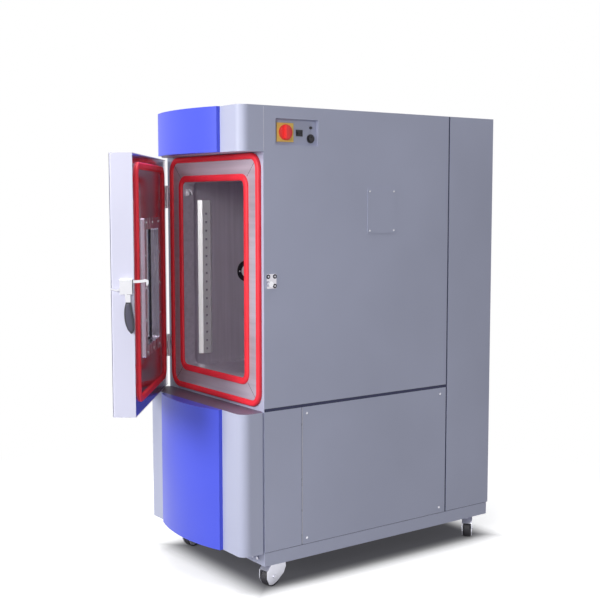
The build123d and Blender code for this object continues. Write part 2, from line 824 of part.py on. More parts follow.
with BuildPart() as condenser_fan:
    turned(at_y(arm_y + condenser_motor_length), fan_at, 4, 72)
    turned(at_y(arm_y + 40), fan_at, 28, 30)
    with BuildSketch(at_y(arm_y + 32)) as vanes:
        with Locations(fan_at):
            with PolarLocations(vane_ring, 5):
                Rectangle(vane_long, vane_wide)
    extrude(to_extrude=vanes.sketch, amount=3)
save(condenser_fan, "condenser_fan")

# Recess for the main switch
floor_x = right - pocket_depth
with BuildPart() as switch_pocket:
    block(floor_x - pocket_wall, right, front + pocket_front - pocket_wall,
          front + pocket_front + pocket_width + pocket_wall, pocket_bottom - pocket_wall,
          pocket_bottom + pocket_height + pocket_wall)
    block(floor_x, right, front + pocket_front, front + pocket_front + pocket_width,
          pocket_bottom, pocket_bottom + pocket_height, mode=Mode.SUBTRACT)
    turned(at_x(floor_x - pocket_wall), (front + switch_back, switch_z),
           spindle_radius + shaft_fit, pocket_wall, mode=Mode.SUBTRACT)
    turned(at_x(floor_x - pocket_wall), (front + button_back, button_z),
           button_radius - 1, pocket_wall, mode=Mode.SUBTRACT)
save(switch_pocket, "switch_pocket")

with BuildPart() as switch_plate:
    block(floor_x, floor_x + switch_plate_thick, front + switch_back - switch_plate_width / 2,
          front + switch_back + switch_plate_width / 2, switch_z - switch_plate_height / 2,
          switch_z + switch_plate_height / 2)
    turned(at_x(floor_x), (front + switch_back, switch_z), spindle_radius + 1,
           switch_plate_thick, mode=Mode.SUBTRACT)
save(switch_plate, "switch_plate")

knob_x = floor_x + switch_plate_thick + 0.3
with BuildPart() as switch_knob:
    turned(at_x(floor_x - 10), (front + switch_back, switch_z), spindle_radius,
           knob_x - floor_x + 10)
    turned(at_x(knob_x), (front + switch_back, switch_z), knob_radius, knob_base)
    turned(at_x(knob_x + knob_base), (front + switch_back, switch_z), knob_radius - 4,
           knob_bar - knob_base)
    for side in (-1, 1):
        y = front + switch_back + side * (8 + knob_radius / 2)
        block(knob_x + knob_base, knob_x + knob_bar, y - knob_radius / 2, y + knob_radius / 2,
              switch_z - knob_radius, switch_z + knob_radius, mode=Mode.SUBTRACT)
save(switch_knob, "switch_knob")

# Fixed fittings in the recess: a round connector and a small socket
connector_at = (front + connector_back, connector_z)
with BuildPart() as signal_connector:
    turned(at_x(floor_x), connector_at, connector_radius, 3)
    turned(at_x(floor_x + 3), connector_at, connector_radius - 5, 4)
    block(floor_x + 5, floor_x + 7, front + connector_back - 2, front + connector_back + 2,
          connector_z + 3, connector_z + 12, mode=Mode.SUBTRACT)
save(signal_connector, "signal_connector")

with BuildPart() as interface_socket:
    block(floor_x, floor_x + 2, front + socket_back - 14.5, front + socket_back + 14.5,
          socket_z - 11.5, socket_z + 11.5)
    block(floor_x + 2, floor_x + 5, front + socket_back - 9, front + socket_back + 9,
          socket_z - 4.5, socket_z + 4.5)
    block(floor_x + 3, floor_x + 5, front + socket_back - 7.5, front + socket_back + 7.5,
          socket_z - 3, socket_z + 3, mode=Mode.SUBTRACT)
save(interface_socket, "interface_socket")

with BuildPart() as reset_button:
    turned(at_x(floor_x - 6), (front + button_back, button_z), button_radius - 1.05, 6 + 2.3)
    turned(at_x(floor_x + 2.3), (front + button_back, button_z), button_radius, 4)
save(reset_button, "reset_button")

# Blank plate
with BuildPart() as blank_plate:
    block(right, right + blank_thick, front + blank_back - blank_width / 2,
          front + blank_back + blank_width / 2, blank_z - blank_height / 2,
          blank_z + blank_height / 2)
save(blank_plate, "blank_plate")

# Strike and keeper
with BuildPart() as strike_plate:
    extrude(to_extrude=rounded(at_x(right),
                               (front + strike_front + strike_width / 2,
                                strike_bottom + strike_height / 2),
                               strike_width, strike_height, 3), amount=strike_plate_thick)
save(strike_plate, "strike_plate")

keeper_at = (front + keeper_back, keeper_z)
keeper_x = right + strike_plate_thick
with BuildPart() as strike_keeper:
    turned(at_x(keeper_x), keeper_at, keeper_roller, 10.5)
    turned(at_x(keeper_x + 10.5), keeper_at, keeper_head, 2)
save(strike_keeper, "strike_keeper")

# Screw heads in the panels
screw_radius = 5
screw_high = 1.6
rear_screw_drop = 192       # middle row of the rear panel, below the middle of the opening
service_screw_inset = 23    # from the edges of the service panel
strike_screws = ((35, 9), (35, 43), (7, 43))
with BuildPart() as panel_screws:
    for y in (strip_back + service_screw_inset, column_back - service_screw_inset - 13):
        for z in (panel_bottom + service_screw_inset, seam_height - service_screw_inset - 7):
            hexagon(at_x(right), (front + y, z), screw_radius, screw_high)
    for y in (blank_back - blank_screw_x / 2, blank_back + blank_screw_x / 2):
        for z in (blank_z - blank_screw_z / 2, blank_z + blank_screw_z / 2):
            hexagon(at_x(right + blank_thick), (front + y, z), screw_radius - 1, screw_high)
    for y, z in strike_screws:
        hexagon(at_x(right + strike_plate_thick), (front + strike_front + y, strike_bottom + z),
                screw_radius - 1.5, screw_high)
    for x in (right - 46, right - 76):
        hexagon(at_y(front), (x, skirt_bottom + 21), screw_radius + 1, 4)
    for x in (left + 56, 0, right - 56):
        for z in (panel_bottom + 52, opening_z - rear_screw_drop, panel_top - 68):
            hexagon(at_y(rear + screw_high), (x, z), screw_radius, screw_high)
save(panel_screws, "panel_screws")

# Hinges: three knuckles each, the outer two on the cabinet
knuckle = (hinge_length - 2 * knuckle_gap) / 3
hinge_zs = (lower_hinge_z, upper_hinge_z)
with BuildPart() as hinge_leaf_body:
    for z0 in hinge_zs:
        block(hinge_x + leaf_relief, hinge_x + leaf_reach, front - leaf_thick, front,
              z0, z0 + hinge_length)
        for z in (z0, z0 + hinge_length - knuckle):
            block(hinge_x, hinge_x + leaf_relief, front - leaf_thick, front, z, z + knuckle)
            turned(at_z(z), (hinge_x, hinge_y), knuckle_radius, knuckle)
        turned(at_z(z0), (hinge_x, hinge_y), pin_radius, hinge_length)
save(hinge_leaf_body, "hinge_leaf_body")

with BuildPart() as hinge_leaf_door:
    for z0 in hinge_zs:
        z1 = z0 + knuckle + knuckle_gap
        door_block(leaf_relief, leaf_reach, door_inner, door_inner + leaf_thick,
                   z0, z0 + hinge_length)
        door_block(0, leaf_relief, door_inner, door_inner + leaf_thick, z1, z1 + knuckle)
        turned(door_plan.offset(z1), (0, 0), knuckle_radius, knuckle)
        turned(door_plan.offset(z1), (0, 0), pin_radius + pin_fit, knuckle, mode=Mode.SUBTRACT)
save(hinge_leaf_door, "hinge_leaf_door")

# Door: painted sheet-metal box with an inner stainless skin
with BuildPart() as door_cavity:
    door_block(door_skin - door_overhang, door_reach - door_skin, door_outer + door_skin,
               door_inner - 2 * door_skin, door_bottom + door_skin, door_top - door_skin)
    around_window(door_outer, door_inner, window_wall + trim_gap + door_skin, 14 + trim_gap,
                  mode=Mode.SUBTRACT)

with BuildPart() as door_shell:
    door_block(-door_overhang, door_reach, door_outer, door_inner, door_bottom, door_top)
    verticals = door_shell.edges().filter_by(Axis.Z)
    fillet(verticals.sort_by(lambda e: door_plan.to_local_coords(e.center()).Y)[:2],
           door_edge_round)
    door_block(door_rim - door_overhang, door_reach - door_rim, door_inner - door_skin, door_inner,
               door_bottom + door_rim, door_top - door_rim, mode=Mode.SUBTRACT)
    around_window(door_outer, door_inner, window_wall + trim_gap, 12 + trim_gap,
                  mode=Mode.SUBTRACT)
    add(door_cavity.part, mode=Mode.SUBTRACT)
save(door_shell, "door_shell")

with BuildPart() as door_liner:
    door_block(door_rim - door_overhang, door_reach - door_rim, door_inner - door_skin, door_inner,
               door_bottom + door_rim, door_top - door_rim)
    around_window(door_outer, door_inner, window_wall + trim_gap, 12 + trim_gap,
                  mode=Mode.SUBTRACT)
save(door_liner, "door_liner")


def door_seal(grow, radius, mode=Mode.ADD):
    """Rounded block on the inner face of the door, larger than the chamber opening."""
    outline = rounded(door_face.offset(-door_inner - door_seal_thick),
                      (opening_x - hinge_x, opening_z), opening_width + 2 * grow,
                      opening_height + 2 * grow, radius)
    extrude(to_extrude=outline, amount=door_seal_thick, mode=mode)


with BuildPart() as door_gasket:
    door_seal(seal_offset + seal_band, opening_radius + seal_band)
    door_seal(seal_offset, opening_radius, mode=Mode.SUBTRACT)
    seal_front = door_gasket.faces().sort_by(lambda f: door_plan.to_local_coords(f.center()).Y)
    chamfer(seal_front[-1].edges(), seal_chamfer)
save(door_gasket, "door_gasket")

# Window: clamping frame with a tube through the door, and two panes
with BuildPart() as window_frame:
    around_window(door_inner, door_inner + window_plate, window_member, 6)
    around_window(door_outer, door_inner + window_plate, window_wall, 12)
    around_window(door_outer, door_inner + window_plate, 0, 10, mode=Mode.SUBTRACT)
save(window_frame, "window_frame")

glass_back = door_inner - glass_recess
glass_face = door_outer + glass_front
with BuildPart() as window_glass:
    around_window(glass_back - glass_thick, glass_back, 0, 12)
    around_window(glass_face, glass_face + glass_thick, 0, 12)
save(window_glass, "window_glass")

# Arched panel on the door, its opening lined by a collar
arch_start = -arch_half - hinge_x
arch_end = arch_half - hinge_x
door_height = door_top - door_bottom
with BuildPart() as door_arch_cavity:
    arch(door_plan.offset(door_bottom + arch_sheet), arch_start, arch_end, door_outer,
         arch_sheet, door_height - 2 * arch_sheet)
    around_window(door_outer - 60, door_outer, arch_sheet, 13, mode=Mode.SUBTRACT)

with BuildPart() as door_arch_panel:
    arch(door_plan.offset(door_bottom), arch_start, arch_end, door_outer, 0, door_height)
    add(door_arch_cavity.part, mode=Mode.SUBTRACT)
    around_window(door_outer - 60, door_outer, 0, 10, mode=Mode.SUBTRACT)
save(door_arch_panel, "door_arch_panel")


def at_edge(x):
    """Plane on the free edge of the door, facing along it; sketches use (y, z)."""
    return door_edge.offset(x)


pivot = (latch_pivot_y, latch_pivot_z)
hook_x = door_reach + latch_base_wall + latch_gap
handle_x = hook_x + latch_plate + latch_gap
cover_x = handle_x + latch_plate + 2 * latch_gap
cover_out = cover_x + latch_base_wall
base_y0, base_y1 = latch_pivot_y - 21, latch_pivot_y + 22
base_z0, base_z1 = latch_pivot_z - 26, latch_pivot_z + 26
with BuildPart() as latch_base:
    door_block(door_reach, door_reach + latch_base_wall, base_y0, base_y1, base_z0, base_z1)
    door_block(cover_x, cover_out, base_y0, base_y1, base_z0, base_z1)
    door_block(door_reach, cover_out, base_y0, base_y1, base_z1 - latch_base_wall, base_z1)
    outside = latch_base.edges().filter_by(lambda e: abs(
        door_plan.to_local_coords(e.center()).X - cover_out) < 0.01)
    chamfer(outside, 1)
    turned(at_edge(door_reach), pivot, latch_pin, cover_out - door_reach)
save(latch_base, "latch_base")

# Hook: arm over the keeper with a drop nose, and a short tail
arm_low = keeper_z + 19
nose_y = keeper_back + hinge_front + 6.6
with BuildPart() as latch_hook:
    turned(at_edge(hook_x), pivot, latch_boss, latch_plate)
    arm = ((latch_pivot_y - 8, latch_pivot_z + 2), (latch_pivot_y + 13, latch_pivot_z + 21),
           (nose_y - 12, arm_low + 8), (nose_y - 4, arm_low + 10), (nose_y + 4, arm_low + 9),
           (nose_y + 8, arm_low + 4), (nose_y + 7.5, arm_low - 6), (nose_y + 4, arm_low - 12),
           (nose_y, arm_low - 12), (nose_y, arm_low), (nose_y - 30, arm_low - 3),
           (latch_pivot_y + 17, latch_pivot_z + 13), (latch_pivot_y + 8, latch_pivot_z - 2))
    extrude(to_extrude=polygon(at_edge(hook_x), arm), amount=latch_plate)
    tail = ((latch_pivot_y - 4, latch_pivot_z - 8), (latch_pivot_y - 20, latch_pivot_z - 3),
            (latch_pivot_y - 32, latch_pivot_z - 10), (latch_pivot_y - 54, latch_pivot_z - 5),
            (latch_pivot_y - 55, latch_pivot_z - 10), (latch_pivot_y - 34, latch_pivot_z - 16),
            (latch_pivot_y - 28, latch_pivot_z - 15), (latch_pivot_y - 16, latch_pivot_z - 10))
    extrude(to_extrude=polygon(at_edge(hook_x), tail), amount=latch_plate)
    turned(at_edge(hook_x), pivot, latch_pin + latch_fit, latch_plate, mode=Mode.SUBTRACT)
save(latch_hook, "latch_hook")

# Handle: flat lever with a curved grip moulded on its end
grip_top = latch_pivot_z - 53
grip_foot = latch_pivot_z - 160
grip_mid = (grip_top + grip_foot) / 2
with BuildPart() as latch_handle:
    turned(at_edge(handle_x), pivot, latch_boss, latch_plate)
    lever = ((latch_pivot_y - 7, latch_pivot_z), (latch_pivot_y + 2, grip_top - 40),
             (latch_pivot_y + 14, grip_top - 40), (latch_pivot_y + 15, latch_pivot_z - 26),
             (latch_pivot_y + 10, latch_pivot_z))
    extrude(to_extrude=polygon(at_edge(handle_x), lever), amount=latch_plate)
    turned(at_edge(handle_x), pivot, latch_pin + latch_fit, latch_plate, mode=Mode.SUBTRACT)
    with BuildSketch(at_edge(handle_x + latch_plate / 2 - grip_thick / 2)) as grip:
        with BuildLine():
            ThreePointArc((latch_pivot_y, grip_top), (latch_pivot_y - 6, grip_mid),
                          (latch_pivot_y + 15, grip_foot))
            ThreePointArc((latch_pivot_y + 15, grip_foot), (latch_pivot_y + 25, grip_foot + 16),
                          (latch_pivot_y + 24, grip_foot + 35))
            Line((latch_pivot_y + 24, grip_foot + 35), (latch_pivot_y + 15, grip_top))
            Line((latch_pivot_y + 15, grip_top), (latch_pivot_y, grip_top))
        make_face()
    extrude(to_extrude=grip.sketch, amount=grip_thick)
save(latch_handle, "latch_handle")


def caster_plane(x, y, angle):
    """Frame of a caster: x from the swivel axis toward the wheel, z up."""
    return Plane(origin=(x, y, 0), x_dir=(cos(radians(angle)), sin(radians(angle)), 0),
                 z_dir=(0, 0, 1))


def upright(plane, across):
    """Plane parallel to the wheel, across mm to its right; sketches use (along, z)."""
    side = Plane(origin=plane.origin, x_dir=plane.x_dir, z_dir=-plane.y_dir)
    return side.offset(across)


def fork(plane):
    """Fork with a sloping hood and an axle bolt, open behind the wheel."""
    half = fork_inside / 2
    nose_x, nose_z = 42 + hood_reach, fork_top - hood_drop
    cheek = ((-34, fork_top), (42, fork_top), (nose_x, nose_z), (nose_x, 34), (54, 14), (44, 10),
             (32, 10), (10, 18), (-24, 40), (-36, 62))
    for across in (-half - fork_wall, half):
        extrude(to_extrude=polygon(upright(plane, across), cheek), amount=fork_wall)
        head = half + fork_wall if across > 0 else -half - fork_wall - 3
        hexagon(upright(plane, head), (caster_trail, wheel_radius), axle_radius + 3, 3)
    crown = ((-34, fork_top - fork_thick), (42, fork_top - fork_thick), (nose_x - 4, nose_z),
             (nose_x, nose_z), (42, fork_top), (-34, fork_top))
    extrude(to_extrude=polygon(upright(plane, -half), crown), amount=fork_inside)
    turned(upright(plane, -half), (caster_trail, wheel_radius), axle_radius, fork_inside)
    turned(plane.offset(fork_top - fork_thick), (0, 0), swivel_pin + swivel_fit, fork_thick,
           mode=Mode.SUBTRACT)


def wheel(plane):
    """Wheel with a bore for the axle."""
    face = upright(plane, -wheel_width / 2)
    centre = (caster_trail, wheel_radius)
    turned(face, centre, wheel_radius, wheel_width)
    turned(face, centre, axle_radius + axle_fit, wheel_width, mode=Mode.SUBTRACT)


front_y = front + front_caster_setback
rear_y = base_rear - rear_caster_setback
plane_fl = caster_plane(left + caster_inset, front_y, front_swivel)
plane_fr = caster_plane(right - caster_inset, front_y, front_swivel)
plane_rl = caster_plane(left + caster_inset, rear_y, rear_swivel)
plane_rr = caster_plane(right - caster_inset, rear_y, rear_swivel)

with BuildPart() as caster_fork_fl:
    fork(plane_fl)
save(caster_fork_fl, "caster_fork_fl")

with BuildPart() as caster_fork_fr:
    fork(plane_fr)
save(caster_fork_fr, "caster_fork_fr")

with BuildPart() as caster_fork_rl:
    fork(plane_rl)
save(caster_fork_rl, "caster_fork_rl")

with BuildPart() as caster_fork_rr:
    fork(plane_rr)
save(caster_fork_rr, "caster_fork_rr")

with BuildPart() as caster_wheel_fl:
    wheel(plane_fl)
save(caster_wheel_fl, "caster_wheel_fl")

with BuildPart() as caster_wheel_fr:
    wheel(plane_fr)
save(caster_wheel_fr, "caster_wheel_fr")

with BuildPart() as caster_wheel_rl:
    wheel(plane_rl)
save(caster_wheel_rl, "caster_wheel_rl")

with BuildPart() as caster_wheel_rr:
    wheel(plane_rr)
save(caster_wheel_rr, "caster_wheel_rr")
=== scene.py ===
"""Environmental test chamber: finishes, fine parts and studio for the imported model."""

from math import cos, pi, radians, sin

import bmesh
import bpy
import numpy as np
from bpy.props import FloatProperty, FloatVectorProperty, IntProperty, PointerProperty
from bpy.types import Operator, Panel, PropertyGroup
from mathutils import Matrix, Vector


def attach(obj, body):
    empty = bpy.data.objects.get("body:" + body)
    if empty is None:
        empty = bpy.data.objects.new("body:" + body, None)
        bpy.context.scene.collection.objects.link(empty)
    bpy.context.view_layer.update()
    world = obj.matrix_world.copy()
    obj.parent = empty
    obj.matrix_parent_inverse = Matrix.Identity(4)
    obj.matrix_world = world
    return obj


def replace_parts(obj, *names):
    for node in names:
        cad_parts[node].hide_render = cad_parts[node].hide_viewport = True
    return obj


bl_info = {
    "name": "Test chamber dressing",
    "version": (1, 0, 0),
    "blender": (4, 5, 0),
    "location": "View3D > Sidebar > Chamber",
    "description": "Finishes and fine parts of a floor-standing test chamber",
    "category": "Object",
}

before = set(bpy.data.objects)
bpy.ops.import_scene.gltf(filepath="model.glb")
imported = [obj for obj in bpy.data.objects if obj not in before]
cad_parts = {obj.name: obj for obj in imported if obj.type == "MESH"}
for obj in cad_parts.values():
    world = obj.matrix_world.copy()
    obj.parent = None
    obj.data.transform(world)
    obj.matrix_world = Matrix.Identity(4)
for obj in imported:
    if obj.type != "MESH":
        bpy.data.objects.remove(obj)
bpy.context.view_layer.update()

MM = 0.001
DOOR_TURN = radians(38)
HINGE = np.array((-0.336, -0.5765, 0.0))
ALONG = np.array((cos(DOOR_TURN), -sin(DOOR_TURN), 0.0))
INWARD = np.array((sin(DOOR_TURN), cos(DOOR_TURN), 0.0))
UP = np.array((0.0, 0.0, 1.0))
# Pieces are laid out from the middle of the cabinet's footprint, which stands here
ORIGIN = np.array((0.014565, 0.24983, 0.0))
OPENING_X, OPENING_Z = 0.011, 1.132     # middle of the chamber opening
FRONT = -0.569                          # front panel behind the door
THROAT_FACE = -0.575                    # face of the frame round the opening
SIDE = 0.345                            # right side panels
SKIRT_TOP = 0.1462                      # above it the frame has its own paint
FASCIA_PAINTED_SHADE_LEVEL = 0.6645                   # above it the fascia's top ledge is painted darker, as painted shade
GRIP_TOP = 1.0742                       # above it the lever is bright metal
WINDOW_X, WINDOW_Z = 346, 1106          # middle of the window on the door, in mm
PAINTED_SHADOW_HALF = (0.33, 0.57, 0.0)              # half sizes of the painted shadow on the ground under the cabinet


def srgb(r, g, b):
    """Linear colour of a screen colour given in 0..255: each channel to the power 2.2."""
    return tuple((c / 255) ** 2.2 for c in (r, g, b))


class ChamberColours(PropertyGroup):
    """Paints and materials of the cabinet."""

    cabinet: FloatVectorProperty(
        name="Cabinet paint", description="Powder coat of the cabinet and the door",
        subtype="COLOR", size=3, min=0, max=1, default=srgb(182, 186, 210))
    arch: FloatVectorProperty(
        name="Arched panels", description="Powder coat of the bowed front panels",
        subtype="COLOR", size=3, min=0, max=1, default=srgb(76, 89, 222))
    base: FloatVectorProperty(
        name="Frame paint", description="Paint of the posts behind the open seams",
        subtype="COLOR", size=3, min=0, max=1, default=srgb(52, 54, 84))
    seal: FloatVectorProperty(
        name="Silicone", description="Seals of the opening and the door",
        subtype="COLOR", size=3, min=0, max=1, default=srgb(255, 50, 66))
    steel: FloatVectorProperty(
        name="Stainless steel", description="Chamber and throat",
        subtype="COLOR", size=3, min=0, max=1, default=srgb(206, 197, 210))
    # Painted light: the door coat is a lighter copy of the cabinet paint, for the light on the
    # door's front
    door: FloatVectorProperty(
        name="Door paint", description="Powder coat of the door",
        subtype="COLOR", size=3, min=0, max=1, default=srgb(206, 206, 226))
    door_steel: FloatVectorProperty(
        name="Door inner face", description="Polished sheet on the inside of the door",
        subtype="COLOR", size=3, min=0, max=1, default=srgb(196, 184, 198))


class ChamberSizes(PropertyGroup):
    """Small parts and the studio."""

    screw: FloatProperty(
        name="Window screw", description="Radius of the screw heads of the window frame",
        unit="LENGTH", min=0.001, max=0.01, default=0.0042)
    bead: FloatProperty(
        name="Window bead", description="Radius of the black bead round each pane",
        unit="LENGTH", min=0.001, max=0.008, default=0.0035)
    segments: IntProperty(
        name="Segments", description="Segments of turned parts", min=8, max=96, default=32)
    orange_peel: FloatProperty(
        name="Orange peel", description="Depth of the texture of the powder coat",
        unit="LENGTH", min=0, max=0.001, default=0.00006)


def colours():
    """The colour settings of the scene."""
    return bpy.context.scene.chamber_colours


def sizes():
    """The size settings of the scene."""
    return bpy.context.scene.chamber_sizes


# Meshes

def grid_faces(rows, cols, wrap_rows, wrap_cols):
    """Quads of a grid of rows x cols points, row-major, closed round either way if asked."""
    r = np.arange(rows if wrap_rows else rows - 1)
    c = np.arange(cols if wrap_cols else cols - 1)
    r, c = np.meshgrid(r, c, indexing="ij")
    r, c = r.ravel(), c.ravel()
    r1, c1 = (r + 1) % rows, (c + 1) % cols
    return np.stack((r * cols + c, r * cols + c1, r1 * cols + c1, r1 * cols + c), axis=1)


def mesh_piece(name, points, faces, material, body, smooth=True, slot=None):
    """Object from point and face arrays, finished with a material and riding on a body."""
    mesh = bpy.data.meshes.new(name)
    mesh.from_pydata((points + ORIGIN).tolist(), [], [list(f) for f in faces])
    mesh.update()
    piece = bpy.data.objects.new(name, mesh)
    bpy.context.scene.collection.objects.link(piece)
    outward(piece)
    mesh.polygons.foreach_set("use_smooth", np.full(len(mesh.polygons), smooth))
    mesh.materials.append(material)
    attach(piece, body)
    return piece


def outward(piece):
    """Recalculates the normals so that every face points out of its closed shell."""
    work = bmesh.new()
    work.from_mesh(piece.data)
    bmesh.ops.remove_doubles(work, verts=work.verts, dist=1e-6)
    bmesh.ops.recalc_face_normals(work, faces=work.faces)
    work.to_mesh(piece.data)
    work.free()


def axes_of(normal):
    """Two unit vectors square to a normal: the first level, the second across it."""
    normal = np.asarray(normal, float)
    side = np.cross(UP, normal)
    if np.linalg.norm(side) < 1e-6:
        side = np.array((1.0, 0.0, 0.0))
    side = side / np.linalg.norm(side)
    return side, np.cross(normal, side)


def turned(profile, centre, normal, segments):
    """Surface of revolution: profile rows (radius, height) swept by the angle round the normal.

    Point = centre + radius * (cos a * side + sin a * across) + height * normal.
    """
    profile = np.asarray(profile, float)
    side, across = axes_of(normal)
    angle = np.linspace(0, 2 * pi, segments, endpoint=False)
    ring = np.cos(angle)[:, None] * side + np.sin(angle)[:, None] * across
    points = (np.asarray(centre) + profile[:, 0, None, None] * ring[None]
              + profile[:, 1, None, None] * np.asarray(normal, float))
    return points.reshape(-1, 3), grid_faces(len(profile), segments, False, True)


def merged(shells):
    """One point array and one face list from several (points, faces) shells."""
    points, faces, start = [], [], 0
    for shell_points, shell_faces in shells:
        points.append(shell_points)
        faces.append(np.asarray(shell_faces) + start)
        start += len(shell_points)
    return np.concatenate(points), np.concatenate(faces)


def screw_shell(centre, normal, radius, segments=20):
    """Pan head with a round sunk centre: a turned profile from under the rim to the recess."""
    profile = radius * np.array(((0.0, -0.05), (0.98, -0.05), (1.0, 0.12), (0.92, 0.34),
                                 (0.7, 0.46), (0.42, 0.5), (0.36, 0.5), (0.33, 0.12),
                                 (0.0, 0.1)))
    return turned(profile, centre, normal, segments)


def rounded_loop(width, height, radius, corner_steps=8):
    """Closed rounded rectangle as (x, y) rows: four quarter circles joined by their ends."""
    quarter = np.linspace(0, pi / 2, corner_steps)
    corners = ((1, 1, 0), (-1, 1, pi / 2), (-1, -1, pi), (1, -1, 1.5 * pi))
    arcs = [np.stack((sx * (width / 2 - radius) + radius * np.cos(quarter + turn),
                      sy * (height / 2 - radius) + radius * np.sin(quarter + turn)), axis=1)
            for sx, sy, turn in corners]
    return np.concatenate(arcs)


def mirrored(half):
    """Closed profile of a wheel in metres, from rows of radius and half width in mm: down one
    side as (radius, -half width), back along the other as (radius, half width)."""
    half = np.array(half)
    return np.concatenate((half * (1, -1), half[::-1])) * MM


def bead_shell(loop, centre, side, across, normal, thick, sides=8):
    """Round bead along a closed loop: a circle of the given radius in the plane of the
    loop's outward direction and the normal, carried round the loop."""
    ahead = np.roll(loop, -1, axis=0) - np.roll(loop, 1, axis=0)
    ahead /= np.linalg.norm(ahead, axis=1)[:, None]
    out = np.stack((ahead[:, 1], -ahead[:, 0]), axis=1)
    angle = np.linspace(0, 2 * pi, sides, endpoint=False)
    flat = loop[:, None, :] + thick * np.cos(angle)[None, :, None] * out[:, None, :]
    points = (np.asarray(centre) + flat[..., :1] * side + flat[..., 1:] * across
              + thick * np.sin(angle)[None, :, None] * normal)
    return points.reshape(-1, 3), grid_faces(len(loop), sides, True, True)


def seal_shell(inside, radius, band, deep, rounding, centre, side, across, normal):
    """Seal with a domed face: a profile across the band, carried round offset loops.

    Each profile point (t, d) gives the rounded rectangle grown by t, lifted by d.
    """
    arc = np.linspace(0, pi / 2, 7)
    near = np.stack((rounding - rounding * np.cos(arc), deep - rounding + rounding * np.sin(arc)),
                    axis=1)
    far = np.stack((band - near[::-1, 0], near[::-1, 1]), axis=1)
    profile = np.concatenate(([(0.0, 0.0)], near, far, [(band, 0.0)]))
    rings = [np.asarray(centre) + loop[:, :1] * side + loop[:, 1:] * across + d * normal
             for t, d in profile
             for loop in (rounded_loop(inside[0] + 2 * t, inside[1] + 2 * t, radius + t, 10),)]
    return np.concatenate(rings), grid_faces(len(profile), len(rings[0]), True, True)


def tube_shell(path, radii, sides=12):
    """Round bar along a path: circles square to the path, each with its own radius.

    Point = path + radius * (cos a * first + sin a * second).
    """
    path = np.asarray(path, float)
    ahead = np.gradient(path, axis=0)
    ahead /= np.linalg.norm(ahead, axis=1)[:, None]
    first = np.cross(ahead, (0.3, 0.9, 0.2))
    first /= np.linalg.norm(first, axis=1)[:, None]
    second = np.cross(ahead, first)
    angle = np.linspace(0, 2 * pi, sides, endpoint=False)
    ring = (np.cos(angle)[None, :, None] * first[:, None]
            + np.sin(angle)[None, :, None] * second[:, None])
    points = path[:, None] + np.asarray(radii)[:, None, None] * ring
    return points.reshape(-1, 3), grid_faces(len(path), sides, False, True)


def box_shell(centre, axes, half):
    """Box from its centre, three unit axes and three half sizes."""
    sign = np.array([(x, y, z) for x in (-1, 1) for y in (-1, 1) for z in (-1, 1)])
    points = np.asarray(centre) + (sign * half) @ np.asarray(axes, float)
    faces = np.array(((0, 1, 3, 2), (4, 6, 7, 5), (0, 4, 5, 1), (2, 3, 7, 6), (0, 2, 6, 4),
                      (1, 5, 7, 3)))
    return points, faces


def in_door(x, y, z):
    """Point of the door's own frame (mm along the door, mm toward the cabinet, mm up)."""
    return HINGE + (ALONG * x + INWARD * y + UP * z) * MM


# Materials

def new_material(name):
    """Empty principled material: (material, nodes, links, shader)."""
    material = bpy.data.materials.new(name)
    material.use_nodes = True
    tree = material.node_tree
    return material, tree.nodes, tree.links, tree.nodes["Principled BSDF"]


def object_noise(nodes, links, scale, detail=3.0, stretch=(1, 1, 1)):
    """Noise read from Object coordinates, stretched along the axes."""
    where = nodes.new("ShaderNodeTexCoord")
    mapping = nodes.new("ShaderNodeMapping")
    mapping.inputs["Scale"].default_value = stretch
    noise = nodes.new("ShaderNodeTexNoise")
    noise.inputs["Scale"].default_value = scale
    noise.inputs["Detail"].default_value = detail
    links.new(where.outputs["Object"], mapping.inputs["Vector"])
    links.new(mapping.outputs["Vector"], noise.inputs["Vector"])
    return noise


def bump_from(nodes, links, shader, height, distance, strength=1.0):
    """Puts a bump on a shader from a height output, distance in metres."""
    bump = nodes.new("ShaderNodeBump")
    bump.inputs["Distance"].default_value = distance
    bump.inputs["Strength"].default_value = strength
    links.new(height, bump.inputs["Height"])
    links.new(bump.outputs["Normal"], shader.inputs["Normal"])


def ramp_between(nodes, links, source, low, high, start=0.3, end=0.7):
    """Colour ramp from low to high over a part of the source's range."""
    ramp = nodes.new("ShaderNodeValToRGB")
    ramp.color_ramp.elements[0].position = start
    ramp.color_ramp.elements[1].position = end
    ramp.color_ramp.elements[0].color = (*low, 1)
    ramp.color_ramp.elements[1].color = (*high, 1)
    links.new(source, ramp.inputs["Fac"])
    return ramp


def scaled(colour, factor):
    """A colour times a factor, kept inside 0..1."""
    return tuple(min(1.0, c * factor) for c in colour)


def powder_coat(name, colour, rough=0.42):
    """Powder coat: fine orange peel, and a broad unevenness of a few percent."""
    material, nodes, links, shader = new_material(name)
    shader.inputs["Roughness"].default_value = rough
    shader.inputs["Specular IOR Level"].default_value = 0.4
    cloud = object_noise(nodes, links, 2.2, 2.0)
    tint = ramp_between(nodes, links, cloud.outputs["Fac"], scaled(colour, 0.95),
                        scaled(colour, 1.04))
    links.new(tint.outputs["Color"], shader.inputs["Base Color"])
    peel = object_noise(nodes, links, 420.0, 2.0)
    bump_from(nodes, links, shader, peel.outputs["Fac"], sizes().orange_peel, 0.6)
    return material


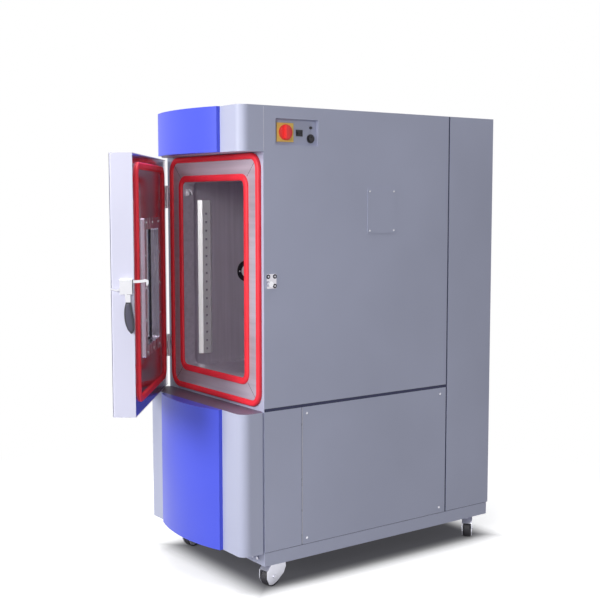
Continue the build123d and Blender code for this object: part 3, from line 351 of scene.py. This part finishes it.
def brushed(name, colour, rough, stretch, grain=0.08, metallic=1.0):
    """Brushed sheet: noise drawn out along the brushing varies roughness, tint and height."""
    material, nodes, links, shader = new_material(name)
    shader.inputs["Metallic"].default_value = metallic
    lines = object_noise(nodes, links, 60.0, 4.0, stretch)
    shade = ramp_between(nodes, links, lines.outputs["Fac"], scaled(colour, 0.9),
                         scaled(colour, 1.06))
    links.new(shade.outputs["Color"], shader.inputs["Base Color"])
    spread = nodes.new("ShaderNodeMapRange")
    spread.inputs["To Min"].default_value = max(0.02, rough - grain)
    spread.inputs["To Max"].default_value = rough + grain
    links.new(lines.outputs["Fac"], spread.inputs["Value"])
    links.new(spread.outputs["Result"], shader.inputs["Roughness"])
    bump_from(nodes, links, shader, lines.outputs["Fac"], 0.00008, 0.5)
    return material


def plain(name, colour, rough, metallic=0.0, grain_scale=300.0, grain=0.00004, spread=0.04):
    """Moulded or plated surface: small grain, and a slight change of tint over it."""
    material, nodes, links, shader = new_material(name)
    shader.inputs["Metallic"].default_value = metallic
    shader.inputs["Roughness"].default_value = rough
    cloud = object_noise(nodes, links, 25.0, 3.0)
    tint = ramp_between(nodes, links, cloud.outputs["Fac"], scaled(colour, 1 - spread),
                        scaled(colour, 1 + spread))
    links.new(tint.outputs["Color"], shader.inputs["Base Color"])
    fine = object_noise(nodes, links, grain_scale, 2.0)
    bump_from(nodes, links, shader, fine.outputs["Fac"], grain, 0.5)
    return material


def silicone(name, colour):
    """Matt translucent rubber with a soft sheen and faint mould marks."""
    material, nodes, links, shader = new_material(name)
    shader.inputs["Roughness"].default_value = 0.5
    shader.inputs["Subsurface Weight"].default_value = 0.08
    shader.inputs["Subsurface Scale"].default_value = 0.004
    cloud = object_noise(nodes, links, 9.0, 3.0)
    tint = ramp_between(nodes, links, cloud.outputs["Fac"], scaled(colour, 0.86),
                        scaled(colour, 1.08))
    links.new(tint.outputs["Color"], shader.inputs["Base Color"])
    fine = object_noise(nodes, links, 180.0, 2.0)
    bump_from(nodes, links, shader, fine.outputs["Fac"], 0.0001, 0.5)
    return material


def clear_glass(name):
    """Clear tempered glass with a grey-green body tint."""
    material, nodes, links, shader = new_material(name)
    shader.inputs["Base Color"].default_value = (0.82, 0.86, 0.88, 1)
    shader.inputs["Transmission Weight"].default_value = 1.0
    shader.inputs["Roughness"].default_value = 0.02
    shader.inputs["IOR"].default_value = 1.45
    haze = object_noise(nodes, links, 6.0, 2.0)
    bump_from(nodes, links, shader, haze.outputs["Fac"], 0.00003, 0.3)
    return material


def split_by_height(name, colour_above, colour_below, level, metallic_above, rough_above,
                    rough_below):
    """One colour, metal share and roughness above a level, others below it, by Object
    height. Below it nothing is metal."""
    material, nodes, links, shader = new_material(name)
    where = nodes.new("ShaderNodeTexCoord")
    parts = nodes.new("ShaderNodeSeparateXYZ")
    above = nodes.new("ShaderNodeMath")
    above.operation = "GREATER_THAN"
    above.inputs[1].default_value = level
    links.new(where.outputs["Object"], parts.inputs["Vector"])
    links.new(parts.outputs["Z"], above.inputs[0])
    tint = ramp_between(nodes, links, above.outputs["Value"], colour_below, colour_above,
                        0.49, 0.51)
    links.new(tint.outputs["Color"], shader.inputs["Base Color"])
    for socket, low, high in (("Metallic", 0.0, metallic_above),
                              ("Roughness", rough_below, rough_above)):
        pick = nodes.new("ShaderNodeMapRange")
        pick.inputs["To Min"].default_value = low
        pick.inputs["To Max"].default_value = high
        links.new(above.outputs["Value"], pick.inputs["Value"])
        links.new(pick.outputs["Result"], shader.inputs[socket])
    return material


def satin_steel(name, colour, rough, stretch):
    """Ground stainless sheet that spreads most of its light: half metal, half diffuse."""
    return brushed(name, colour, rough, stretch, 0.06, 0.45)


def finish(material, *nodes):
    """Gives CAD nodes one material in every slot."""
    for node in nodes:
        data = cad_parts[node].data
        data.materials.clear()
        data.materials.append(material)


class CHAMBER_OT_cabinet(Operator):
    """Paint the cabinet, the base frame and the bowed panels"""

    bl_idname = "chamber.cabinet"
    bl_label = "Cabinet finishes"

    def execute(self, context):
        c = colours()
        grey = powder_coat("cabinet_paint", c.cabinet)
        finish(grey, "front_panel", "upper_side_right", "lower_side_right",
               "service_panel_right", "left_side_panel", "rear_housing", "rear_panel",
               "top_panel", "head_shell", "switch_pocket", "blank_plate")
        # Painted shade: the top ledge of the fascia gets a darker mauve grey than the cabinet
        # paint
        fascia = split_by_height("fascia_paint_painted_shade", srgb(112, 98, 120), tuple(c.cabinet),
                                 FASCIA_PAINTED_SHADE_LEVEL, 0.0, 0.5, 0.42)
        finish(fascia, "fascia_shell")
        finish(powder_coat("arch_paint", c.arch, 0.36), "head_arch_panel", "fascia_arch_panel",
               "door_arch_panel")
        # Painted light: a lighter copy of the cabinet paint on the door
        finish(powder_coat("door_paint_painted_light", c.door), "door_shell")
        skirt = split_by_height("base_paint", tuple(c.base), tuple(c.cabinet), SKIRT_TOP, 0.0,
                                0.6, 0.45)
        finish(skirt, "chassis")
        finish(plain("screw_steel", srgb(205, 205, 212), 0.3, 1.0), "panel_screws")
        return {"FINISHED"}


class CHAMBER_OT_chamber(Operator):
    """Finish the chamber, the throat, the cable port, the foam and the machine room"""

    bl_idname = "chamber.interior"
    bl_label = "Chamber finishes"

    def execute(self, context):
        c = colours()
        grain = (1, 1, 0.04)
        finish(satin_steel("liner_steel", c.steel, 0.36, grain), "chamber_liner", "air_baffle")
        finish(satin_steel("throat_steel", c.steel, 0.34, (0.05, 1, 1)), "throat_frame")
        rail_painted_highlight = 1.9     # painted highlight: the rails get a brighter copy of the liner steel for the light they catch
        finish(satin_steel("rail_steel_painted_highlight", scaled(c.steel, rail_painted_highlight), 0.34, grain),
               "shelf_rails")
        finish(plain("port_black", srgb(34, 32, 38), 0.45), "port_flange")
        finish(plain("plug_white", srgb(236, 236, 238), 0.4), "port_plug")
        finish(plain("foam", srgb(226, 214, 170), 0.9, grain_scale=90.0, grain=0.002),
               "insulation")
        finish(plain("fin_aluminium", srgb(190, 192, 196), 0.4, 1.0), "evaporator",
               "condenser", "fan_impeller")
        finish(plain("heater_sheath", srgb(120, 112, 108), 0.45, 1.0), "heater")
        finish(plain("machine_black", srgb(42, 42, 46), 0.5), "compressor", "fan_motor",
               "condenser_fan")
        return {"FINISHED"}


class CHAMBER_OT_door(Operator):
    """Finish the inside of the door, its window, hinges and latch"""

    bl_idname = "chamber.door"
    bl_label = "Door finishes"

    def execute(self, context):
        c = colours()
        finish(brushed("door_steel", c.door_steel, 0.16, (1, 1, 0.05), 0.05), "door_liner")
        finish(brushed("window_steel", c.steel, 0.26, (1, 1, 0.05)), "window_frame")
        finish(clear_glass("window_pane"), "window_glass")
        finish(plain("hinge_zinc", srgb(236, 232, 240), 0.28, 0.5), "hinge_leaf_body",
               "hinge_leaf_door")
        bright = plain("latch_chrome", srgb(236, 236, 242), 0.16, 1.0, spread=0.01)
        finish(plain("strike_chrome", srgb(214, 212, 220), 0.12, 1.0), "strike_plate")
        finish(bright, "latch_base", "latch_hook", "strike_keeper")
        lever = split_by_height("latch_lever", srgb(236, 236, 242), srgb(40, 40, 48),
                                GRIP_TOP, 1.0, 0.16, 0.5)
        finish(lever, "latch_handle")
        return {"FINISHED"}


class CHAMBER_OT_fittings(Operator):
    """Finish the switch, the sockets and the casters"""

    bl_idname = "chamber.fittings"
    bl_label = "Fittings and casters"

    def execute(self, context):
        finish(plain("switch_yellow", srgb(255, 214, 110), 0.35), "switch_plate")
        finish(plain("switch_red", srgb(255, 66, 66), 0.3), "switch_knob")
        finish(plain("socket_black", srgb(34, 32, 40), 0.45), "signal_connector",
               "reset_button", "interface_socket")
        zinc = plain("zinc_plate", srgb(224, 224, 234), 0.36, 0.85, 140.0, 0.00006)
        finish(zinc, "caster_plates", "caster_fork_fl", "caster_fork_fr", "caster_fork_rl",
               "caster_fork_rr")
        return {"FINISHED"}


class CHAMBER_OT_seals(Operator):
    """Domed silicone seals of the opening and the door"""

    bl_idname = "chamber.seals"
    bl_label = "Seals"

    def execute(self, context):
        red = silicone("seal_silicone", colours().seal)
        front, level = np.array((0.0, -1.0, 0.0)), np.array((1.0, 0.0, 0.0))
        # Node, inside width and height, corner radius, band, depth, rounding, face it stands on
        fixed = (("outer_gasket", (0.595, 0.867), 0.0355, 0.022, 0.0145, 0.008, FRONT),
                 ("inner_gasket", (0.444, 0.716), 0.022, 0.025, 0.0085, 0.007, THROAT_FACE))
        for node, inside, radius, band, deep, rounding, y in fixed:
            shell = seal_shell(inside, radius, band, deep, rounding, (OPENING_X, y, OPENING_Z),
                               level, UP, front)
            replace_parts(mesh_piece(node + "_domed", *shell, red, "cabinet"), node)
        shell = seal_shell((0.519, 0.791), 0.022, 0.025, 0.0085, 0.007, in_door(347, -7.5, 1132),
                           ALONG, UP, INWARD)
        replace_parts(mesh_piece("door_gasket_domed", *shell, red, "door"), "door_gasket")
        return {"FINISHED"}


# Swivel axis (x, y) in metres and direction of the trail in degrees, by caster
CASTERS = {"fl": (-0.285, -0.483, -77), "fr": (0.285, -0.483, -77),
           "rl": (-0.285, 0.511, -46), "rr": (0.285, 0.511, -46)}
TRAIL, WHEEL = 0.026, 0.0375


class CHAMBER_OT_casters(Operator):
    """Tyres with rounded treads and dished hubs"""

    bl_idname = "chamber.casters"
    bl_label = "Caster wheels"

    def execute(self, context):
        rubber = plain("tyre_rubber", srgb(46, 44, 50), 0.5, 0.0, 220.0, 0.0002)
        grey = plain("hub_grey", srgb(150, 150, 156), 0.45, 0.0, 160.0, 0.0001)
        tyre = mirrored(((28, 13), (29.5, 15.2), (33, 16), (36, 14.8), (37.2, 12), (37.5, 8)))
        hub = mirrored(((4.05, 14.5), (9, 14.5), (11, 13), (11.5, 9.5), (24, 8.5), (26.5, 12),
                        (28, 12.5)))
        segments = 2 * sizes().segments
        for name, (x, y, turn) in CASTERS.items():
            ahead = np.array((cos(radians(turn)), sin(radians(turn)), 0.0))
            axle = np.array((-ahead[1], ahead[0], 0.0))
            centre = np.array((x, y, WHEEL)) + ahead * TRAIL
            for part, profile, look in (("tyre", tyre, rubber), ("hub", hub, grey)):
                points = turned(profile, centre, axle, segments)[0]
                faces = grid_faces(len(profile), segments, True, True)
                piece = mesh_piece(f"{part}_{name}", points, faces, look, f"wheel_{name}",
                                   slot=None if part == "tyre" else "zinc")
                if part == "tyre":
                    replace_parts(piece, f"caster_wheel_{name}")
        return {"FINISHED"}


class CHAMBER_OT_throat(Operator):
    """Mitre seams of the throat frame, port screws and the two-pronged bracket"""

    bl_idname = "chamber.throat"
    bl_label = "Throat details"

    def execute(self, context):
        dark = plain("seam_dark", srgb(60, 52, 62), 0.6)
        middle = np.array((OPENING_X, THROAT_FACE + 0.0001, OPENING_Z))
        near, far = np.array((0.2365, 0.0, 0.3725)), np.array((0.2875, 0.0, 0.4235))
        seams = []
        for sx in (-1, 1):
            for sz in (-1, 1):
                inner, outer = (middle + corner * (sx, 1, sz) for corner in (near, far))
                along = (outer - inner) / np.linalg.norm(outer - inner)
                axes = (along, (0, 1, 0), np.cross(along, (0, 1, 0)))
                seams.append(box_shell((inner + outer) / 2, axes,
                                       (np.linalg.norm(outer - inner) / 2, 0.0003, 0.0007)))
        mesh_piece("mitre_seams", *merged(seams), dark, "cabinet", smooth=False,
                   slot="stainless")
        steel = plain("port_screw", srgb(226, 226, 232), 0.3, 0.9)
        port_x, port_y, port_z, ring = -0.234, -0.265, 1.1295, 0.034
        heads = [screw_shell((port_x, port_y + ring * cos(a), port_z + ring * sin(a)),
                             (1, 0, 0), 0.0035) for a in (0.0, pi / 2, pi, 1.5 * pi)]
        mesh_piece("port_screws", *merged(heads), steel, "cabinet", slot="bright_metal")
        # The bracket is a plate on the side of the throat with two prongs curving off it
        white = plain("bracket_white", srgb(240, 238, 244), 0.35)
        t = np.linspace(0, 1, 14)
        radii = 0.0034 * np.minimum(1, np.minimum(t * 20 + 0.02, (1 - t) * 6 + 0.12))
        shells = [box_shell((-0.2095, -0.552, 1.451), np.eye(3), (0.0015, 0.011, 0.013))]
        for y in (-0.559, -0.545):
            path = np.stack((-0.209 + 0.016 * np.sin(t * pi / 2), np.full_like(t, y),
                             1.459 - 0.019 * t ** 2), axis=1)
            shells.append(tube_shell(path, radii))
        piece = mesh_piece("bracket_prongs", *merged(shells), white, "cabinet")
        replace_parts(piece, "sensor_bracket")
        return {"FINISHED"}


class CHAMBER_OT_window_trim(Operator):
    """Screws and black beads of the window, and screws of the hinges"""

    bl_idname = "chamber.window_trim"
    bl_label = "Window trim"

    def execute(self, context):
        steel = plain("window_screw", srgb(210, 208, 214), 0.28, 1.0)
        rubber = plain("bead_rubber", srgb(28, 26, 32), 0.6)
        # Three screws above and below the window, then three at either side of it
        spots = ([(x, z) for x in (-125, 0, 125) for z in (-234, 234)]
                 + [(x, z) for x in (-146, 146) for z in (-116, 0, 116)])
        heads = [screw_shell(in_door(WINDOW_X + x, -0.5, WINDOW_Z + z), INWARD, sizes().screw)
                 for x, z in spots]
        mesh_piece("window_screws", *merged(heads), steel, "door", slot="bright_metal")
        wide, high, inset, corner = 0.250, 0.420, 0.002, 0.012
        loop = rounded_loop(wide - 2 * inset, high - 2 * inset, corner)
        for name, depth in (("bead_inner", -35.5 + 2), ("bead_outer", -85.5 + 6)):
            shell = bead_shell(loop, in_door(WINDOW_X, depth, WINDOW_Z), ALONG, UP, INWARD,
                               sizes().bead)
            mesh_piece(name, *shell, rubber, "door", slot="black_plastic")
        # Two screws in either leaf of each hinge, at heights above the hinge's lower end
        fixed, moving = [], []
        for base in (790, 1389):
            for z in (base + 12, base + 78):
                fixed.append(screw_shell(np.array((-0.3275, -0.571, z * MM)), (0, -1, 0), 0.003))
                moving.append(screw_shell(in_door(14.5, -5.5, z), INWARD, 0.003))
        mesh_piece("hinge_screws_body", *merged(fixed), steel, "cabinet", slot="bright_metal")
        mesh_piece("hinge_screws_door", *merged(moving), steel, "door", slot="bright_metal")
        return {"FINISHED"}


class CHAMBER_OT_seams(Operator):
    """Pale strips painted as highlights on the folded edges beside the panel seams, and the dark
    cups of the strike screws
    """

    bl_idname = "chamber.seams"
    bl_label = "Panel edges"

    def execute(self, context):
        # Painted highlight: thin pale strips where the folded panel edges catch the light
        # Place along the side, lower end, upper end and half width of each edge
        edges = [box_shell((SIDE + 0.0001, y, (low + high) / 2), np.eye(3),
                           (0.0003, half, (high - low) / 2))
                 for y, low, high, half in ((-0.4010, 0.152, 0.662, 0.0011),
                                            (-0.5678, 1.592, 1.746, 0.0009))]
        pale = plain("edge_painted_highlight", srgb(214, 214, 228), 0.35)
        mesh_piece("panel_edge_painted_highlights", *merged(edges), pale, "cabinet", smooth=False,
                   slot="grey_paint")
        dark = plain("cup_dark", srgb(58, 54, 64), 0.4, 0.8)
        strike_y, strike_z = FRONT + 0.011, 1.107
        cups = [turned(np.array(((0.0, -0.1), (8.2, -0.1), (8.2, 0.3), (7.6, 0.4),
                                 (0.0, 0.4))) * MM,
                       (SIDE + 0.002, strike_y + y * MM, strike_z + z * MM), (1, 0, 0), 24)
                for y, z in ((35, 9), (35, 43), (7, 43))]
        mesh_piece("strike_cups", *merged(cups), dark, "cabinet", slot="bright_metal")
        return {"FINISHED"}


def grip_edges(z):
    """The two edges of the grip at height z: cubics through four points each, as y in mm."""
    low = np.polyfit((1074, 1032.5, 992, 967), (-32.5, -39.5, -33.5, -21), 3)
    high = np.polyfit((1074, 1038.5, 1000, 975), (-17, -12.2, -6.2, -8), 3)
    return np.polyval(low, z), np.polyval(high, z)


class CHAMBER_OT_grip(Operator):
    """Moulded grip of the latch handle"""

    bl_idname = "chamber.grip"
    bl_label = "Latch grip"

    def execute(self, context):
        # Superellipse sections between the two edges, stacked down the grip and drawn
        # together at both ends.
        rows, cols = 40, 28
        top, length, squareness = 1076, 110, 0.8
        centre_x, half_thick = 693.5, 6.9
        t = np.linspace(0, 1, rows)
        z = top - length * t
        low, high = grip_edges(np.clip(z, 967, 1074))
        close = np.clip(np.minimum(t * 14, (1 - t) * 9), 0, 1) ** 0.5
        half = (high - low) / 2 * close + 0.6 * close
        middle = (high + low) / 2
        angle = np.linspace(0, 2 * pi, cols, endpoint=False)
        ca, sa = np.cos(angle), np.sin(angle)
        across = np.sign(ca) * np.abs(ca) ** squareness
        depth = np.sign(sa) * np.abs(sa) ** squareness
        x = centre_x + depth[None, :] * half_thick * close[:, None]
        y = middle[:, None] + across[None, :] * half[:, None]
        points = (HINGE + (ALONG * x[..., None] + INWARD * y[..., None]
                           + UP * np.broadcast_to(z[:, None, None], (rows, cols, 1))) * MM)
        black = plain("grip_black", srgb(66, 64, 80), 0.42, 0.0, 260.0, 0.00008)
        mesh_piece("latch_grip", points.reshape(-1, 3), grid_faces(rows, cols, False, True),
                   black, "latch_handle_body", slot="black_plastic")
        return {"FINISHED"}


def shade_light(name, where, aim, energy, size):
    """Puts a round area lamp at a place, turned toward a point."""
    lamp = bpy.data.lights.new(name, "AREA")
    lamp.energy = energy
    lamp.shape = "DISK"
    lamp.size = size
    holder = bpy.data.objects.new(name, lamp)
    bpy.context.scene.collection.objects.link(holder)
    holder.location = where
    holder.rotation_euler = (Vector(aim) - Vector(where)).to_track_quat("-Z", "Y").to_euler()


def seen_white(nodes, links):
    """1 where the camera, a glossy surface or glass looks on, 0 for light that falls."""
    path = nodes.new("ShaderNodeLightPath")
    first = nodes.new("ShaderNodeMath")
    first.operation = "MAXIMUM"
    links.new(path.outputs["Is Camera Ray"], first.inputs[0])
    links.new(path.outputs["Is Glossy Ray"], first.inputs[1])
    second = nodes.new("ShaderNodeMath")
    second.operation = "MAXIMUM"
    links.new(first.outputs["Value"], second.inputs[0])
    links.new(path.outputs["Is Transmission Ray"], second.inputs[1])
    return second.outputs["Value"]


def floor_painted_shadow(nodes, links):
    """Floor colour with a painted shadow: dark under the cabinet, pale beside it, by how far a
    point lies
    outside the shadowed ground: max(|x| - half width, |y| - half depth) from its middle."""
    where = nodes.new("ShaderNodeTexCoord")
    mapping = nodes.new("ShaderNodeMapping")
    mapping.inputs["Location"].default_value = tuple(-ORIGIN)
    size = nodes.new("ShaderNodeVectorMath")
    size.operation = "ABSOLUTE"
    rim = nodes.new("ShaderNodeVectorMath")
    rim.operation = "SUBTRACT"
    rim.inputs[1].default_value = PAINTED_SHADOW_HALF
    parts = nodes.new("ShaderNodeSeparateXYZ")
    outside = nodes.new("ShaderNodeMath")
    outside.operation = "MAXIMUM"
    rise = nodes.new("ShaderNodeMapRange")
    rise.interpolation_type = "SMOOTHSTEP"
    rise.inputs["From Min"].default_value = -0.06
    rise.inputs["From Max"].default_value = 0.1
    # Painted shadow: near black under the cabinet, rising to pale grey beside it
    tint = ramp_between(nodes, links, rise.outputs["Result"], (0.1, 0.1, 0.11),
                        (0.9, 0.9, 0.9), 0.0, 1.0)
    links.new(where.outputs["Object"], mapping.inputs["Vector"])
    links.new(mapping.outputs["Vector"], size.inputs[0])
    links.new(size.outputs["Vector"], rim.inputs[0])
    links.new(rim.outputs["Vector"], parts.inputs["Vector"])
    links.new(parts.outputs["X"], outside.inputs[0])
    links.new(parts.outputs["Y"], outside.inputs[1])
    links.new(outside.outputs["Value"], rise.inputs["Value"])
    # What the floor throws back on the cabinet is kept low, whatever the camera sees
    share = nodes.new("ShaderNodeMapRange")
    share.inputs["To Min"].default_value = 0.4
    shade = nodes.new("ShaderNodeVectorMath")
    shade.operation = "SCALE"
    links.new(seen_white(nodes, links), share.inputs["Value"])
    links.new(tint.outputs["Color"], shade.inputs[0])
    links.new(share.outputs["Result"], shade.inputs["Scale"])
    return shade.outputs["Vector"]


def white_world(scene):
    """World that lights the object weakly and is white where it is looked at."""
    world = bpy.data.worlds.new("studio")
    scene.world = world
    world.use_nodes = True
    nodes, links = world.node_tree.nodes, world.node_tree.links
    nodes.clear()
    out = nodes.new("ShaderNodeOutputWorld")
    pick = nodes.new("ShaderNodeMixShader")
    lit, seen = nodes.new("ShaderNodeBackground"), nodes.new("ShaderNodeBackground")
    lit.inputs["Color"].default_value = (0.94, 0.96, 1.0, 1)
    lit.inputs["Strength"].default_value = 0.15
    seen.inputs["Color"].default_value = (1, 1, 1, 1)
    seen.inputs["Strength"].default_value = 1.0
    links.new(seen_white(nodes, links), pick.inputs["Fac"])
    links.new(lit.outputs["Background"], pick.inputs[1])
    links.new(seen.outputs["Background"], pick.inputs[2])
    links.new(pick.outputs["Shader"], out.inputs["Surface"])


def pale_floor(scene):
    """Wide floor: a painted shadow near the cabinet, and as white as the background further out.
    """
    mesh = bpy.data.meshes.new("floor")
    far_edge = 30.0
    mesh.from_pydata([(x * far_edge, y * far_edge, 0)
                      for x, y in ((-1, -1), (1, -1), (1, 1), (-1, 1))], [], [(0, 1, 2, 3)])
    floor = bpy.data.objects.new("floor", mesh)
    scene.collection.objects.link(floor)
    material, nodes, links, shader = new_material("floor_pale")
    shade = floor_painted_shadow(nodes, links)
    links.new(shade, shader.inputs["Base Color"])
    # The camera also sees some glow of the floor itself, carrying the same painted shadow under
    # the cabinet
    faint = nodes.new("ShaderNodeMath")
    faint.operation = "MULTIPLY"
    faint.inputs[1].default_value = 0.5
    links.new(seen_white(nodes, links), faint.inputs[0])
    links.new(shade, shader.inputs["Emission Color"])
    links.new(faint.outputs["Value"], shader.inputs["Emission Strength"])
    shader.inputs["Roughness"].default_value = 0.9
    shader.inputs["Specular IOR Level"].default_value = 0.1
    glow = nodes.new("ShaderNodeEmission")
    glow.inputs["Color"].default_value = (1, 1, 1, 1)
    glow.inputs["Strength"].default_value = 1.0
    blend = nodes.new("ShaderNodeMixShader")
    where = nodes.new("ShaderNodeTexCoord")
    far = nodes.new("ShaderNodeVectorMath")
    far.operation = "LENGTH"
    rise = nodes.new("ShaderNodeMapRange")
    rise.interpolation_type = "SMOOTHSTEP"
    # The floor turns from lit to glowing between these distances from the middle
    for socket, value in (("From Min", 0.9), ("From Max", 2.2), ("To Min", 0.0),
                          ("To Max", 1.0)):
        rise.inputs[socket].default_value = value
    share = nodes.new("ShaderNodeMath")
    share.operation = "MULTIPLY"
    links.new(where.outputs["Object"], far.inputs[0])
    links.new(far.outputs["Value"], rise.inputs["Value"])
    links.new(rise.outputs["Result"], share.inputs[1])
    links.new(seen_white(nodes, links), share.inputs[0])
    links.new(share.outputs["Value"], blend.inputs["Fac"])
    links.new(shader.outputs["BSDF"], blend.inputs[1])
    links.new(glow.outputs["Emission"], blend.inputs[2])
    links.new(blend.outputs["Shader"], nodes["Material Output"].inputs["Surface"])
    mesh.materials.append(material)
    return floor


def photo_camera(scene):
    """Camera at the place, turn and focal length that the photo was fitted with."""
    lens = bpy.data.cameras.new("camera")
    lens.lens = 63.7
    lens.sensor_width = 36.0
    lens.clip_end = 100
    camera = bpy.data.objects.new("camera", lens)
    scene.collection.objects.link(camera)
    camera.location = ORIGIN + (3.4502, -2.6575, 1.4152)
    camera.rotation_euler = (radians(84.70), radians(0.05), radians(54.115))
    return camera


class CHAMBER_OT_stage(Operator):
    """Pale floor, plain light, white background and the camera"""

    bl_idname = "chamber.stage"
    bl_label = "Studio"

    def execute(self, context):
        scene = context.scene
        scene.view_settings.view_transform = "Standard"
        white_world(scene)
        floor = pale_floor(scene)

        target = ORIGIN + (0.0, -0.3, 0.9)
        shade_light("key", ORIGIN + (0.2, -5.5, 2.6), target, 200, 2.5)
        shade_light("fill", ORIGIN + (3.0, -3.6, 2.4), target, 62, 1.6)
        shade_light("top", ORIGIN + (0.0, 0.0, 6.5), ORIGIN, 320, 5.0)

        scene.camera = photo_camera(scene)
        return {"FINISHED"}


class CHAMBER_PT_panel(Panel):
    """Lists the steps of the dressing in the sidebar."""

    bl_label = "Test chamber"
    bl_space_type = "VIEW_3D"
    bl_region_type = "UI"
    bl_category = "Chamber"

    def draw(self, context):
        for group in (context.scene.chamber_colours, context.scene.chamber_sizes):
            for key in group.__annotations__:
                self.layout.prop(group, key)
        for step in OPERATORS:
            self.layout.operator(step.bl_idname)


OPERATORS = (CHAMBER_OT_cabinet, CHAMBER_OT_chamber, CHAMBER_OT_door, CHAMBER_OT_fittings,
             CHAMBER_OT_seals, CHAMBER_OT_casters, CHAMBER_OT_throat, CHAMBER_OT_window_trim,
             CHAMBER_OT_seams, CHAMBER_OT_grip, CHAMBER_OT_stage)
CLASSES = (ChamberColours, ChamberSizes, *OPERATORS, CHAMBER_PT_panel)


def register():
    """Registers the classes and the two groups of settings."""
    for cls in CLASSES:
        bpy.utils.register_class(cls)
    bpy.types.Scene.chamber_colours = PointerProperty(type=ChamberColours)
    bpy.types.Scene.chamber_sizes = PointerProperty(type=ChamberSizes)


def unregister():
    """Takes the settings and the classes away again."""
    del bpy.types.Scene.chamber_sizes
    del bpy.types.Scene.chamber_colours
    for cls in reversed(CLASSES):
        bpy.utils.unregister_class(cls)


def main():
    """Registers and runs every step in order."""
    register()
    for step in OPERATORS:
        group, name = step.bl_idname.split(".")
        result = getattr(getattr(bpy.ops, group), name)()
        if result != {"FINISHED"}:
            raise RuntimeError(f"{step.bl_idname} did not finish")


if __name__ == "__main__":
    main()
